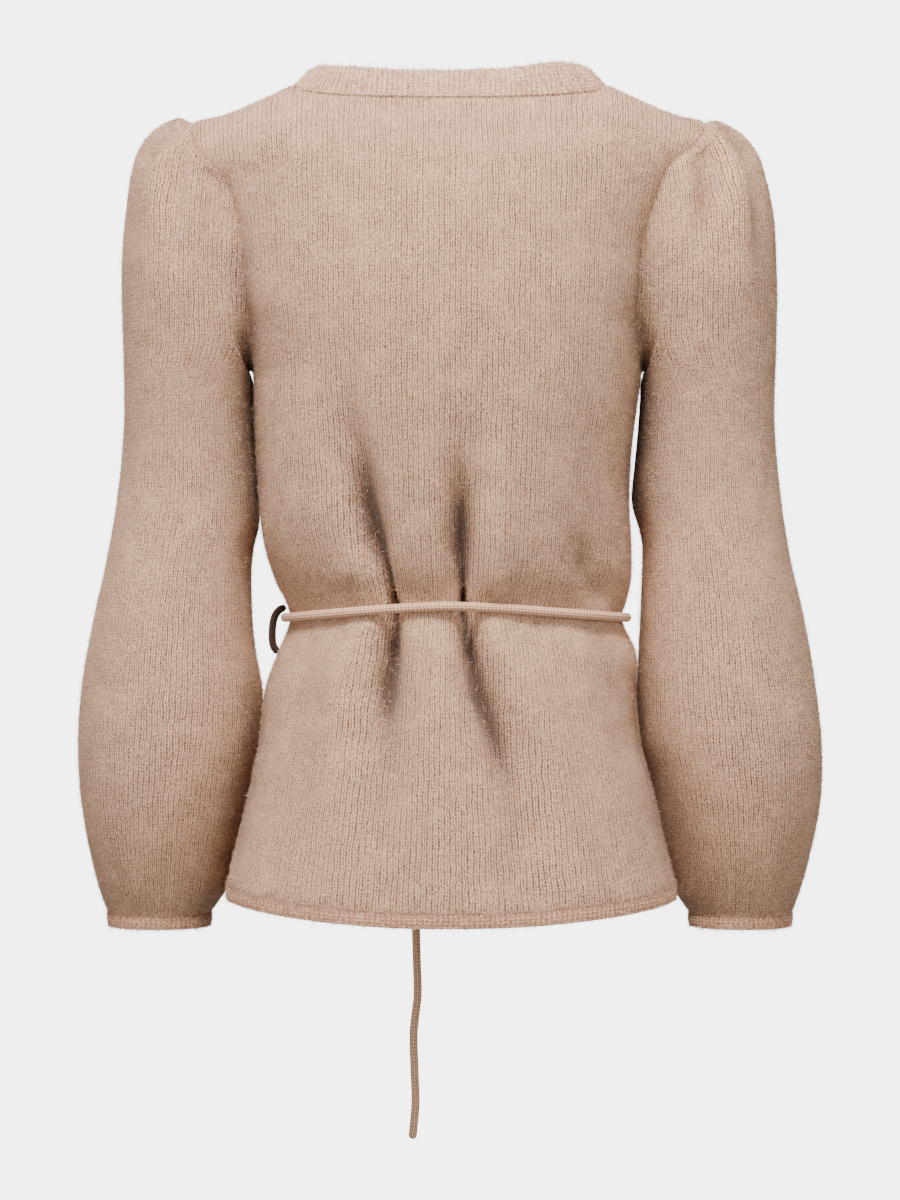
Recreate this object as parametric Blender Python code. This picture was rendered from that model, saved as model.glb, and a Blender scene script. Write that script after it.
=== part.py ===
"""A wrap cardigan of brushed wool knit, filled out as if worn, with nobody in it.

Metres, +Z up. The front faces -Y and the wearer's left is +X. The origin is the middle of the neck
opening at the height of the shoulder tops, where the wearer's shoulders hold the garment up.
Every cloth piece is a closed wall: a grid of outer points, the same grid moved in along its normals,
and a rim. Rows of a body panel run from the hem up, and their heights are those of its side edge.
"""

import math
from collections import namedtuple

import bmesh
import bpy
import numpy as np

# Cloth
WALL = 0.0028
SEAM_GAP = 0.0003
LAYER_GAP = 0.0020
TINY = 1e-5
PROBE = 1e-3
SHARP_ANGLE = math.radians(50)

# Neck and shoulders
NECK_HALF_WIDTH = 0.1115
NECK_DEPTH = 0.062
NECK_DROP = 0.0174
NECK_CURVE = 2.5
SHOULDER_TIP_HEIGHT = -0.030
SHOULDER_ROUNDING = 0.050

# Bands
NECKBAND_HEIGHT = 0.0200
NECKBAND_LEAN = (0.68, 0.0, 0.733)
NECKBAND_BACK_LEAN = -0.26
BAND_TURN_LENGTH = 0.085
RIB_PITCH = 0.0036
RIB_RISE = 0.0006
HEM_HEIGHT = 0.0105
CUFF_BOTTOM = -0.6030
CUFF_SPREAD = 0.0008
HEM_SWELL = 0.0006
HEM_EDGE_OUT = 0.0002
BAND_FOOT = 1.5 * SEAM_GAP

# Body panels
HEM_EDGE = -0.5800
WAIST_HEIGHT = -0.3800
UNDERARM_HEIGHT = -0.2070
BACK_HEM_DROP = 0.0130
WAIST_RISE = 0.0080
BACK_COLUMNS = 14
FRONT_COLUMNS = 12
UNDER_START_X = 0.0850
UNDER_TURN_X = 0.0400
UNDER_START_Z = -0.1700
UNDER_TURN_Z = 0.0500

# Cords
CORD_RADIUS = 0.0032
LOOP_RADIUS = 0.0027
CORD_STEP = 0.0150
LOOP_STEP = 0.0045
ROUTE_SHARE = 0.05
KNOT_CENTRE = (0.0255, -0.1026, -0.3727)

# Half-widths to the wearer's left and right, depths to the back and front, and how square the section is
Section = namedtuple("Section", "height left right back front square")
SECTIONS = (
    Section(-0.5950, 0.1640, 0.1660, 0.1240, 0.1340, 2.45),
    Section(-0.5800, 0.1610, 0.1630, 0.1210, 0.1320, 2.45),
    Section(-0.5480, 0.1540, 0.1550, 0.1170, 0.1290, 2.45),
    Section(-0.5120, 0.1455, 0.1470, 0.1120, 0.1250, 2.45),
    Section(-0.4700, 0.1370, 0.1375, 0.1045, 0.1190, 2.40),
    Section(-0.4300, 0.1320, 0.1335, 0.0965, 0.1115, 2.30),
    Section(-0.4040, 0.1225, 0.1325, 0.0895, 0.1040, 2.20),
    Section(-0.3900, 0.1165, 0.1260, 0.0840, 0.0985, 2.15),
    Section(-0.3800, 0.1140, 0.1225, 0.0815, 0.0960, 2.15),
    Section(-0.3700, 0.1165, 0.1255, 0.0850, 0.0990, 2.15),
    Section(-0.3550, 0.1240, 0.1290, 0.0930, 0.1060, 2.20),
    Section(-0.3300, 0.1320, 0.1300, 0.0995, 0.1130, 2.30),
    Section(-0.3000, 0.1360, 0.1285, 0.1040, 0.1180, 2.35),
    Section(-0.2600, 0.1385, 0.1300, 0.1080, 0.1230, 2.35),
    Section(-0.2300, 0.1400, 0.1335, 0.1105, 0.1245, 2.35),
    Section(-0.2070, 0.1405, 0.1365, 0.1120, 0.1230, 2.30),
    Section(-0.1950, 0.1430, 0.1370, 0.1125, 0.1210, 2.30),
    Section(-0.1780, 0.1475, 0.1385, 0.1130, 0.1175, 2.30),
    Section(-0.1500, 0.1575, 0.1450, 0.1120, 0.1110, 2.30),
    Section(-0.1200, 0.1620, 0.1490, 0.1090, 0.1035, 2.30),
    Section(-0.0950, 0.1680, 0.1580, 0.1045, 0.0970, 2.30),
    Section(-0.0750, 0.1790, 0.1680, 0.0980, 0.0910, 2.30),
    Section(-0.0640, 0.1885, 0.1750, 0.0940, 0.0870, 2.30),
    Section(-0.0560, 0.1960, 0.1830, 0.0900, 0.0840, 2.30),
    Section(-0.0480, 0.2030, 0.1935, 0.0850, 0.0800, 2.30),
    Section(-0.0400, 0.2060, 0.2010, 0.0790, 0.0750, 2.30),
    Section(-0.0300, 0.2050, 0.2030, 0.0720, 0.0700, 2.30),
)

# How far behind and in front of the side seam the armhole is cut, before the shoulder rounds over
Armhole = namedtuple("Armhole", "height back front")
ARMHOLES = (
    Armhole(-0.1320, 0.0550, 0.0570),
    Armhole(-0.1000, 0.0560, 0.0570),
    Armhole(-0.0800, 0.0550, 0.0550),
    Armhole(-0.0640, 0.0530, 0.0520),
    Armhole(-0.0500, 0.0480, 0.0460),
    Armhole(-0.0400, 0.0430, 0.0415),
    Armhole(-0.0300, 0.0380, 0.0370),
)

# The top of the shoulders, from the neck out
Shoulder = namedtuple("Shoulder", "out height")
SHOULDERS = (
    Shoulder(0.1115, 0.0000),
    Shoulder(0.1300, -0.0085),
    Shoulder(0.1500, -0.0172),
    Shoulder(0.1700, -0.0246),
    Shoulder(0.1830, -0.0300),
)

# The edge of a front panel, measured from the middle towards its own side; its band lies beyond
FrontEdge = namedtuple("FrontEdge", "height out")
FRONT_EDGES = (
    FrontEdge(-0.5950, -0.0190),
    FrontEdge(-0.4300, -0.0150),
    FrontEdge(-0.3750, -0.0120),
    FrontEdge(-0.3400, -0.0050),
    FrontEdge(-0.3000, 0.0060),
    FrontEdge(-0.2500, 0.0230),
    FrontEdge(-0.2000, 0.0410),
    FrontEdge(-0.1500, 0.0600),
    FrontEdge(-0.1000, 0.0800),
    FrontEdge(-0.0600, 0.0970),
    FrontEdge(-0.0300, 0.1115),
)

# Heights of the rows at a side edge, from the hem to the underarm and on to the shoulder tip
SIDE_ROWS = (
    -0.5695, -0.5400, -0.5050, -0.4700, -0.4400, -0.4170, -0.4000, -0.3890, -0.3800,
    -0.3710, -0.3600, -0.3430, -0.3200, -0.2920, -0.2630, -0.2340, -0.2070,
)
ARMHOLE_ROWS = (
    -0.2058, -0.2020, -0.1950, -0.1840, -0.1690, -0.1470, -0.1220, -0.0980, -0.0790, -0.0640,
    -0.0530, -0.0450, -0.0385, -0.0330, -0.0300,
)

# A fold is a soft trough or ridge along a path seen from behind or in front.
# A path's stations are its place, how far it rises (down where negative) and its half-width.
Station = namedtuple("Station", "x z rise reach")
Fold = namedtuple("Fold", "name stations")
BACK_FOLDS = (
    Fold("left pinch above the tie", (
        Station(0.0820, -0.2050, -0.0010, 0.016), Station(0.0690, -0.2350, -0.0035, 0.014),
        Station(0.0610, -0.2650, -0.0060, 0.012), Station(0.0580, -0.3000, -0.0085, 0.011),
        Station(0.0510, -0.3270, -0.0110, 0.010), Station(0.0440, -0.3500, -0.0130, 0.009),
        Station(0.0400, -0.3720, -0.0140, 0.008),
    )),
    Fold("left pinch below the tie", (
        Station(0.0400, -0.3720, -0.0140, 0.008), Station(0.0415, -0.3950, -0.0140, 0.009),
        Station(0.0430, -0.4350, -0.0100, 0.012), Station(0.0400, -0.4750, -0.0060, 0.015),
        Station(0.0330, -0.5200, -0.0040, 0.018), Station(0.0330, -0.5750, -0.0020, 0.020),
    )),
    Fold("right pinch above the tie", (
        Station(-0.0060, -0.2400, -0.0010, 0.015), Station(-0.0070, -0.2700, -0.0045, 0.013),
        Station(-0.0065, -0.3050, -0.0090, 0.011), Station(-0.0065, -0.3350, -0.0120, 0.010),
        Station(-0.0097, -0.3720, -0.0140, 0.008),
    )),
    Fold("right pinch below the tie", (
        Station(-0.0097, -0.3720, -0.0140, 0.008), Station(-0.0150, -0.4000, -0.0140, 0.009),
        Station(-0.0220, -0.4350, -0.0110, 0.012), Station(-0.0310, -0.4780, -0.0080, 0.015),
        Station(-0.0390, -0.5250, -0.0060, 0.017), Station(-0.0470, -0.5750, -0.0030, 0.020),
    )),
    Fold("left ridge above the tie", (
        Station(0.0900, -0.2600, 0.0010, 0.020), Station(0.0790, -0.3100, 0.0030, 0.016),
        Station(0.0660, -0.3450, 0.0045, 0.013), Station(0.0570, -0.3620, 0.0030, 0.010),
    )),
    Fold("left ridge below the tie", (
        Station(0.0600, -0.3900, 0.0030, 0.012), Station(0.0680, -0.4300, 0.0055, 0.018),
        Station(0.0740, -0.4800, 0.0045, 0.022), Station(0.0800, -0.5600, 0.0020, 0.026),
    )),
    Fold("middle ridge below the tie", (
        Station(0.0150, -0.3950, 0.0020, 0.014), Station(0.0120, -0.4350, 0.0040, 0.018),
        Station(0.0040, -0.5000, 0.0030, 0.022), Station(-0.0040, -0.5700, 0.0015, 0.024),
    )),
    Fold("right ridge below the tie", (
        Station(-0.0330, -0.3900, 0.0030, 0.012), Station(-0.0480, -0.4250, 0.0055, 0.017),
        Station(-0.0640, -0.4750, 0.0050, 0.021), Station(-0.0800, -0.5600, 0.0025, 0.026),
    )),
    Fold("right ridge above the tie", (
        Station(-0.0260, -0.2800, 0.0010, 0.016), Station(-0.0290, -0.3250, 0.0035, 0.014),
        Station(-0.0310, -0.3560, 0.0040, 0.011),
    )),
    Fold("right hollow over the tie", (
        Station(-0.0840, -0.3250, -0.0010, 0.012), Station(-0.0960, -0.3460, -0.0055, 0.011),
        Station(-0.1060, -0.3620, -0.0060, 0.009),
    )),
    Fold("right side flute", (
        Station(-0.1040, -0.3950, -0.0020, 0.010), Station(-0.1180, -0.4350, -0.0050, 0.012),
        Station(-0.1280, -0.4700, -0.0030, 0.014),
    )),
)
FRONT_FOLDS = (
    Fold("left pinch", (
        Station(0.0700, -0.2500, -0.0010, 0.016), Station(0.0620, -0.3000, -0.0050, 0.013),
        Station(0.0560, -0.3450, -0.0090, 0.010), Station(0.0540, -0.3790, -0.0100, 0.009),
        Station(0.0560, -0.4100, -0.0095, 0.010), Station(0.0620, -0.4600, -0.0060, 0.014),
        Station(0.0680, -0.5500, -0.0020, 0.019),
    )),
    Fold("right pinch", (
        Station(-0.0640, -0.2600, -0.0010, 0.016), Station(-0.0600, -0.3100, -0.0060, 0.012),
        Station(-0.0570, -0.3550, -0.0095, 0.010), Station(-0.0560, -0.3790, -0.0105, 0.009),
        Station(-0.0580, -0.4100, -0.0100, 0.010), Station(-0.0640, -0.4700, -0.0060, 0.014),
        Station(-0.0700, -0.5600, -0.0020, 0.019),
    )),
    Fold("left ridge", (
        Station(0.0820, -0.3900, 0.0020, 0.012), Station(0.0920, -0.4400, 0.0045, 0.018),
        Station(0.0980, -0.5400, 0.0020, 0.024),
    )),
    Fold("right ridge", (
        Station(-0.0800, -0.3950, 0.0020, 0.012), Station(-0.0930, -0.4500, 0.0045, 0.017),
        Station(-0.1000, -0.5500, 0.0020, 0.023),
    )),
    Fold("wrap ridge", (
        Station(-0.0150, -0.3950, 0.0020, 0.014), Station(-0.0180, -0.4500, 0.0035, 0.018),
        Station(-0.0220, -0.5500, 0.0015, 0.022),
    )),
)
SLEEVE_BACK_FOLDS = {
    1: (
        Fold("head ridge", (
            Station(0.1860, -0.0410, 0.0010, 0.006), Station(0.1990, -0.0530, 0.0045, 0.007),
            Station(0.2070, -0.0680, 0.0055, 0.008), Station(0.2090, -0.0860, 0.0045, 0.009),
            Station(0.2110, -0.1200, 0.0020, 0.011), Station(0.2130, -0.1700, 0.0005, 0.014),
        )),
        Fold("outer valley", (
            Station(0.1960, -0.0420, -0.0030, 0.006), Station(0.2100, -0.0560, -0.0045, 0.007),
            Station(0.2180, -0.0780, -0.0030, 0.009), Station(0.2210, -0.1100, -0.0010, 0.011),
        )),
        Fold("middle hollow", (
            Station(0.1880, -0.0520, -0.0020, 0.005), Station(0.1890, -0.0680, -0.0040, 0.008),
            Station(0.1900, -0.0900, -0.0020, 0.009), Station(0.1880, -0.1200, -0.0005, 0.010),
        )),
        Fold("small ridge", (
            Station(0.1800, -0.0540, 0.0020, 0.005), Station(0.1800, -0.0680, 0.0040, 0.006),
            Station(0.1780, -0.0860, 0.0035, 0.008), Station(0.1770, -0.1150, 0.0010, 0.011),
        )),
        Fold("seam valley", (
            Station(0.1720, -0.0590, -0.0040, 0.005), Station(0.1700, -0.0740, -0.0070, 0.006),
            Station(0.1675, -0.0900, -0.0060, 0.007), Station(0.1640, -0.1150, -0.0035, 0.009),
            Station(0.1570, -0.1500, -0.0020, 0.011),
        )),
    ),
    -1: (
        Fold("head ridge", (
            Station(-0.1850, -0.0360, 0.0010, 0.006), Station(-0.1960, -0.0500, 0.0050, 0.007),
            Station(-0.2020, -0.0680, 0.0060, 0.008), Station(-0.2050, -0.0880, 0.0050, 0.009),
            Station(-0.2050, -0.1200, 0.0025, 0.011), Station(-0.2070, -0.1700, 0.0005, 0.014),
        )),
        Fold("outer valley", (
            Station(-0.1920, -0.0370, -0.0020, 0.006), Station(-0.2050, -0.0540, -0.0055, 0.006),
            Station(-0.2130, -0.0700, -0.0050, 0.007), Station(-0.2150, -0.0900, -0.0035, 0.009),
            Station(-0.2180, -0.1250, -0.0010, 0.012),
        )),
        Fold("middle hollow", (
            Station(-0.1860, -0.0480, -0.0020, 0.004), Station(-0.1900, -0.0620, -0.0030, 0.005),
            Station(-0.1910, -0.0800, -0.0010, 0.007),
        )),
        Fold("inner valley", (
            Station(-0.1790, -0.0500, -0.0030, 0.005), Station(-0.1795, -0.0650, -0.0045, 0.006),
            Station(-0.1785, -0.0850, -0.0045, 0.007), Station(-0.1760, -0.1080, -0.0020, 0.009),
        )),
        Fold("seam ridge", (
            Station(-0.1680, -0.0590, 0.0015, 0.006), Station(-0.1640, -0.0750, 0.0030, 0.008),
            Station(-0.1620, -0.1000, 0.0020, 0.010), Station(-0.1600, -0.1400, 0.0005, 0.012),
        )),
    ),
}
# The same gathers in front, measured from the middle out
SLEEVE_FRONT_FOLDS = (
    Fold("head ridge", (
        Station(0.1870, -0.0400, 0.0010, 0.006), Station(0.2000, -0.0560, 0.0050, 0.007),
        Station(0.2070, -0.0780, 0.0045, 0.009), Station(0.2100, -0.1200, 0.0015, 0.012),
    )),
    Fold("outer valley", (
        Station(0.1980, -0.0420, -0.0030, 0.006), Station(0.2120, -0.0600, -0.0045, 0.007),
        Station(0.2190, -0.0900, -0.0020, 0.010),
    )),
    Fold("inner valley", (
        Station(0.1830, -0.0520, -0.0030, 0.005), Station(0.1850, -0.0700, -0.0050, 0.007),
        Station(0.1850, -0.0950, -0.0025, 0.009), Station(0.1840, -0.1250, -0.0005, 0.011),
    )),
    Fold("seam ridge", (
        Station(0.1720, -0.0600, 0.0020, 0.006), Station(0.1700, -0.0800, 0.0035, 0.008),
        Station(0.1680, -0.1150, 0.0010, 0.011),
    )),
)

# A sleeve's rings: its outer and inner points seen from behind, half its depth and its middle in Y
Ring = namedtuple("Ring", "outer_x outer_z inner_x inner_z depth middle")
LEFT_SLEEVE = (
    Ring(0.1885, -0.0245, 0.1432, -0.2040, 0.064, -0.001),
    Ring(0.1990, -0.0262, 0.1458, -0.2070, 0.067, -0.002),
    Ring(0.2110, -0.0335, 0.1462, -0.2140, 0.067, -0.003),
    Ring(0.2215, -0.0460, 0.1460, -0.2210, 0.066, -0.004),
    Ring(0.2290, -0.0660, 0.1455, -0.2290, 0.064, -0.005),
    Ring(0.2330, -0.0930, 0.1448, -0.2390, 0.062, -0.006),
    Ring(0.2350, -0.1330, 0.1435, -0.2520, 0.059, -0.008),
    Ring(0.2342, -0.1850, 0.1415, -0.2700, 0.057, -0.010),
    Ring(0.2338, -0.2400, 0.1398, -0.2920, 0.056, -0.012),
    Ring(0.2385, -0.2920, 0.1395, -0.3160, 0.059, -0.014),
    Ring(0.2460, -0.3360, 0.1430, -0.3440, 0.066, -0.017),
    Ring(0.2560, -0.3800, 0.1425, -0.3820, 0.073, -0.020),
    Ring(0.2645, -0.4250, 0.1390, -0.4250, 0.078, -0.023),
    Ring(0.2680, -0.4720, 0.1415, -0.4720, 0.078, -0.025),
    Ring(0.2655, -0.5150, 0.1495, -0.5150, 0.071, -0.027),
    Ring(0.2595, -0.5500, 0.1580, -0.5500, 0.060, -0.028),
    Ring(0.2525, -0.5780, 0.1665, -0.5780, 0.047, -0.029),
    Ring(0.2470, -0.5930, 0.1730, -0.5930, 0.038, -0.029),
)
RIGHT_SLEEVE = (
    Ring(0.1875, -0.0262, 0.1392, -0.2040, 0.064, -0.001),
    Ring(0.1965, -0.0285, 0.1425, -0.2070, 0.067, -0.002),
    Ring(0.2080, -0.0360, 0.1432, -0.2140, 0.067, -0.003),
    Ring(0.2185, -0.0480, 0.1432, -0.2210, 0.066, -0.004),
    Ring(0.2265, -0.0670, 0.1428, -0.2290, 0.064, -0.005),
    Ring(0.2320, -0.0930, 0.1422, -0.2390, 0.062, -0.006),
    Ring(0.2342, -0.1330, 0.1412, -0.2520, 0.059, -0.008),
    Ring(0.2338, -0.1850, 0.1395, -0.2700, 0.057, -0.010),
    Ring(0.2328, -0.2400, 0.1375, -0.2920, 0.056, -0.012),
    Ring(0.2372, -0.2920, 0.1383, -0.3160, 0.059, -0.014),
    Ring(0.2442, -0.3360, 0.1385, -0.3440, 0.066, -0.017),
    Ring(0.2545, -0.3800, 0.1372, -0.3820, 0.073, -0.020),
    Ring(0.2625, -0.4250, 0.1358, -0.4250, 0.078, -0.023),
    Ring(0.2678, -0.4720, 0.1402, -0.4720, 0.078, -0.025),
    Ring(0.2668, -0.5150, 0.1503, -0.5150, 0.071, -0.027),
    Ring(0.2600, -0.5500, 0.1600, -0.5500, 0.060, -0.028),
    Ring(0.2525, -0.5780, 0.1665, -0.5780, 0.047, -0.029),
    Ring(0.2470, -0.5930, 0.1730, -0.5930, 0.038, -0.029),
)
SLEEVES = {1: LEFT_SLEEVE, -1: RIGHT_SLEEVE}
# How far a sleeve first leads on from the armhole, and how far it lifts
HEAD_LIFT = (0.0024, 0.0009)
# How far each ring of the head has turned from the armhole's outline into an oval,
# and how far its top is pushed on from the seam
HeadRing = namedtuple("HeadRing", "oval push")
HEAD = (
    HeadRing(0.30, 0.0045), HeadRing(0.52, 0.0050), HeadRing(0.70, 0.0035), HeadRing(0.84, 0.0015),
    HeadRing(0.94, 0.0),
)

# The tie's way round the waist from the knot and back to it, over the hollows rather than into them
TIE_ROUTE = (
    (0.0350, -0.0962, -0.3731), (0.0510, -0.0891, -0.3740), (0.0720, -0.0807, -0.3756),
    (0.0919, -0.0671, -0.3772), (0.1061, -0.0475, -0.3787), (0.1151, -0.0244, -0.3797),
    (0.1178, 0.0000, -0.3800), (0.1143, 0.0244, -0.3797), (0.1024, 0.0459, -0.3787),
    (0.0853, 0.0622, -0.3772), (0.0666, 0.0744, -0.3756), (0.0458, 0.0797, -0.3740),
    (0.0270, 0.0834, -0.3728), (0.0090, 0.0854, -0.3721), (-0.0089, 0.0854, -0.3721),
    (-0.0274, 0.0844, -0.3728), (-0.0467, 0.0814, -0.3740), (-0.0671, 0.0750, -0.3756),
    (-0.0882, 0.0646, -0.3772), (-0.1076, 0.0483, -0.3787), (-0.1221, 0.0262, -0.3797),
    (-0.1265, 0.0000, -0.3800), (-0.1233, -0.0263, -0.3797), (-0.1124, -0.0503, -0.3787),
    (-0.0958, -0.0701, -0.3772), (-0.0746, -0.0834, -0.3756), (-0.0525, -0.0913, -0.3740),
    (-0.0316, -0.0978, -0.3728), (-0.0104, -0.0999, -0.3721), (0.0060, -0.1002, -0.3723),
    (0.0160, -0.0991, -0.3728),
)
# The tie's free end, from under the knot down over the front's edge and past the hem
END_ROUTE = (
    (0.0255, -0.1030, -0.3824), (0.0256, -0.1058, -0.3950), (0.0257, -0.1102, -0.4100),
    (0.0258, -0.1140, -0.4250), (0.0259, -0.1174, -0.4400), (0.0259, -0.1223, -0.4700),
    (0.0258, -0.1264, -0.5000), (0.0257, -0.1299, -0.5300), (0.0256, -0.1329, -0.5600),
    (0.0256, -0.1352, -0.5900), (0.0256, -0.1364, -0.6180), (0.0249, -0.1370, -0.6436),
    (0.0244, -0.1373, -0.6647), (0.0262, -0.1375, -0.6813), (0.0275, -0.1377, -0.6972),
    (0.0266, -0.1379, -0.7265), (0.0260, -0.1380, -0.7470), (0.0277, -0.1380, -0.7673),
    (0.0285, -0.1380, -0.7742),
)
# The loop on the left side seam, out over the tie and back in below it
LOOP_ROUTE = (
    (0.1170, 0.0000, -0.3733), (0.1198, 0.0000, -0.3735), (0.1224, 0.0000, -0.3750),
    (0.1246, 0.0000, -0.3778), (0.1260, 0.0000, -0.3815), (0.1268, 0.0000, -0.3860),
    (0.1271, 0.0000, -0.3910), (0.1270, 0.0000, -0.3960), (0.1263, 0.0000, -0.4000),
    (0.1244, 0.0000, -0.4032),
)
# The knot's turns, from its top down: how wide and how deep it is at each height
Turn = namedtuple("Turn", "height wide deep")
KNOT_TURNS = (
    Turn(0.0090, 0.0022, 0.0020), Turn(0.0082, 0.0052, 0.0042), Turn(0.0060, 0.0074, 0.0056),
    Turn(0.0034, 0.0066, 0.0050), Turn(0.0004, 0.0086, 0.0062), Turn(-0.0028, 0.0072, 0.0052),
    Turn(-0.0056, 0.0078, 0.0056), Turn(-0.0080, 0.0056, 0.0044), Turn(-0.0090, 0.0024, 0.0022),
)
KNOT_SIDES = 16

WOOL = ("brushed_wool", (0.57, 0.41, 0.32, 1.0))
RIB = ("rib_knit", (0.60, 0.43, 0.34, 1.0))
CORD = ("knitted_cord", (0.52, 0.36, 0.28, 1.0))


def smooth_curve(rows, column):
    """A curve through one column of a table against its first, flat where the column turns."""
    pairs = sorted((row[0], getattr(row, column)) for row in rows)
    x, y = np.array(pairs, float).T
    slope = np.diff(y) / np.diff(x)
    tangent = np.concatenate([slope[:1], (slope[:-1] + slope[1:]) / 2, slope[-1:]])
    tangent[1:-1][slope[:-1] * slope[1:] <= 0] = 0

    def at(where):
        where = np.clip(where, x[0], x[-1])
        i = np.clip(np.searchsorted(x, where) - 1, 0, len(x) - 2)
        step = x[i + 1] - x[i]
        t = (where - x[i]) / step
        return (
            (1 + 2 * t) * (1 - t) ** 2 * y[i] + t * (1 - t) ** 2 * step * tangent[i]
            + t * t * (3 - 2 * t) * y[i + 1] + t * t * (t - 1) * step * tangent[i + 1]
        )

    return at


HALF_WIDTH = {1: smooth_curve(SECTIONS, "left"), -1: smooth_curve(SECTIONS, "right")}
DEPTH = {"back": smooth_curve(SECTIONS, "back"), "front": smooth_curve(SECTIONS, "front")}
SQUARE = smooth_curve(SECTIONS, "square")
ARMHOLE = {"back": smooth_curve(ARMHOLES, "back"), "front": smooth_curve(ARMHOLES, "front")}
FRONT_EDGE = smooth_curve(FRONT_EDGES, "out")
SHOULDER_LINE = smooth_curve(SHOULDERS, "height")


def smooth_step(value):
    """0 up to 0, 1 from 1 on, and smooth between."""
    t = np.clip(value, 0, 1)
    return t * t * (3 - 2 * t)


def unit(vectors):
    """The vectors, each one long."""
    return vectors / np.maximum(np.linalg.norm(vectors, axis=-1, keepdims=True), 1e-12)


def section_arc(height, side, face, count=160):
    """Shares of the half-width, and the arc length from the middle of the panel to each."""
    square = SQUARE(height)
    angle = np.linspace(0, math.pi / 2, count)
    share = np.sin(angle) ** (2 / square)
    x = share * HALF_WIDTH[side](height)
    y = np.cos(angle) ** (2 / square) * DEPTH[face](height)
    return share, np.concatenate([[0], np.cumsum(np.hypot(np.diff(x), np.diff(y)))])


def arc_to(height, x, face):
    """The signed arc length from the middle of a section to its point at x."""
    side = 1 if x >= 0 else -1
    share, arc = section_arc(height, side, face)
    return side * float(np.interp(abs(x) / HALF_WIDTH[side](height), share, arc))


def shares_at(height, arcs, face):
    """Signed shares of the half-width at signed arc lengths from the middle of a section."""
    found = np.zeros(len(arcs))
    for side in (1, -1):
        share, arc = section_arc(height, side, face)
        mine = arcs * side >= 0
        found[mine] = side * np.interp(np.abs(arcs[mine]), arc, share)
    return found


def top_height(x):
    """The height of a panel's top edge: the back neckline, then the shoulder line."""
    out = np.abs(x)
    dip = np.clip(1 - (out / NECK_HALF_WIDTH) ** NECK_CURVE, 0, 1) ** (1 / NECK_CURVE)
    return np.where(out < NECK_HALF_WIDTH, -NECK_DROP * dip, SHOULDER_LINE(out))


def neckline_depth(x):
    """How far behind the shoulder line the back neckline lies."""
    out = np.clip(np.abs(x) / NECK_HALF_WIDTH, 0, 1)
    return NECK_DEPTH * (1 - out**NECK_CURVE) ** (1 / NECK_CURVE)


def panel_row(height, shares, face, top_offset):
    """A row of a body panel's points, before its folds."""
    square = SQUARE(height)
    width = np.where(shares >= 0, HALF_WIDTH[1](height), HALF_WIDTH[-1](height))
    x = shares * width
    depth = DEPTH[face](height) * np.clip(1 - np.abs(shares) ** square, 0, 1) ** (1 / square)
    middle = 1 - shares**2
    if height < WAIST_HEIGHT:
        down = (WAIST_HEIGHT - height) / (WAIST_HEIGHT - HEM_EDGE)
        lift = middle * (WAIST_RISE - (WAIST_RISE + BACK_HEM_DROP) * down)
    else:
        up = (height - WAIST_HEIGHT) / (SHOULDER_TIP_HEIGHT - WAIST_HEIGHT)
        climb = max((height - UNDERARM_HEIGHT) / (SHOULDER_TIP_HEIGHT - UNDERARM_HEIGHT), 0)
        lift = middle * WAIST_RISE * (1 - up) + top_offset * climb**2 * (2 - climb)
    z = height + lift
    if face == "back":
        top_z, top_depth = top_height(x), neckline_depth(x)
    else:
        top_z, top_depth = SHOULDER_LINE(np.maximum(np.abs(x), NECK_HALF_WIDTH)), 0.0
    over = np.clip((z - top_z) / SHOULDER_ROUNDING + 1, 0, 1)
    depth = top_depth + (depth - top_depth) * np.sqrt(1 - over**2)
    return np.stack([x, depth if face == "back" else -depth, z], axis=1)


def folded_panel(columns, face, top_offset, folds, layer=None):
    """A body panel's points with its folds, and their normals.

    columns gives the arc lengths of a row's points at a height. The normals come from points a
    little along and above each one on the same surface, past the panel's edges too.
    """
    def rise(points):
        moved = fold_rise(points, folds)
        return moved if layer is None else moved - layer(points)

    grid, normals = [], []
    for height in SIDE_ROWS + ARMHOLE_ROWS:
        arcs = columns(height)
        shares = shares_at(height, arcs, face)
        here = panel_row(height, shares, face, top_offset)
        up = min(PROBE, SHOULDER_TIP_HEIGHT - height)
        around = [
            panel_row(height, shares_at(height, arcs + PROBE, face), face, top_offset),
            panel_row(height, shares_at(height, arcs - PROBE, face), face, top_offset),
            panel_row(height + up, shares, face, top_offset),
            panel_row(height - PROBE, shares, face, top_offset),
        ]
        outward = here * (1, 1, 0) + (0, 0, 0.02)
        normal = unit(np.cross(around[0] - around[1], around[2] - around[3]))
        normal *= np.sign((normal * outward).sum(axis=1, keepdims=True))
        moved = [points + normal * rise(points)[:, None] for points in (here, *around)]
        bent = unit(np.cross(moved[1] - moved[2], moved[3] - moved[4]))
        bent *= np.sign((bent * normal).sum(axis=1, keepdims=True))
        grid.append(moved[0])
        normals.append(bent)
    return np.array(grid), np.array(normals)


def ring_normals(grid):
    """Unit normals of a tube's rings of points, pointing away from its middle."""
    along = np.roll(grid, -1, axis=1) - np.roll(grid, 1, axis=1)
    normals = unit(np.cross(along, np.gradient(grid, axis=0)))
    return normals * np.sign((normals * (grid - grid.mean(axis=1, keepdims=True))).sum())


def edge_runs(edge):
    """Unit vectors along an edge at each of its points."""
    steps = unit(np.diff(edge, axis=0))
    return unit(np.concatenate([steps[:1], steps[:-1] + steps[1:], steps[-1:]]))


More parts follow.
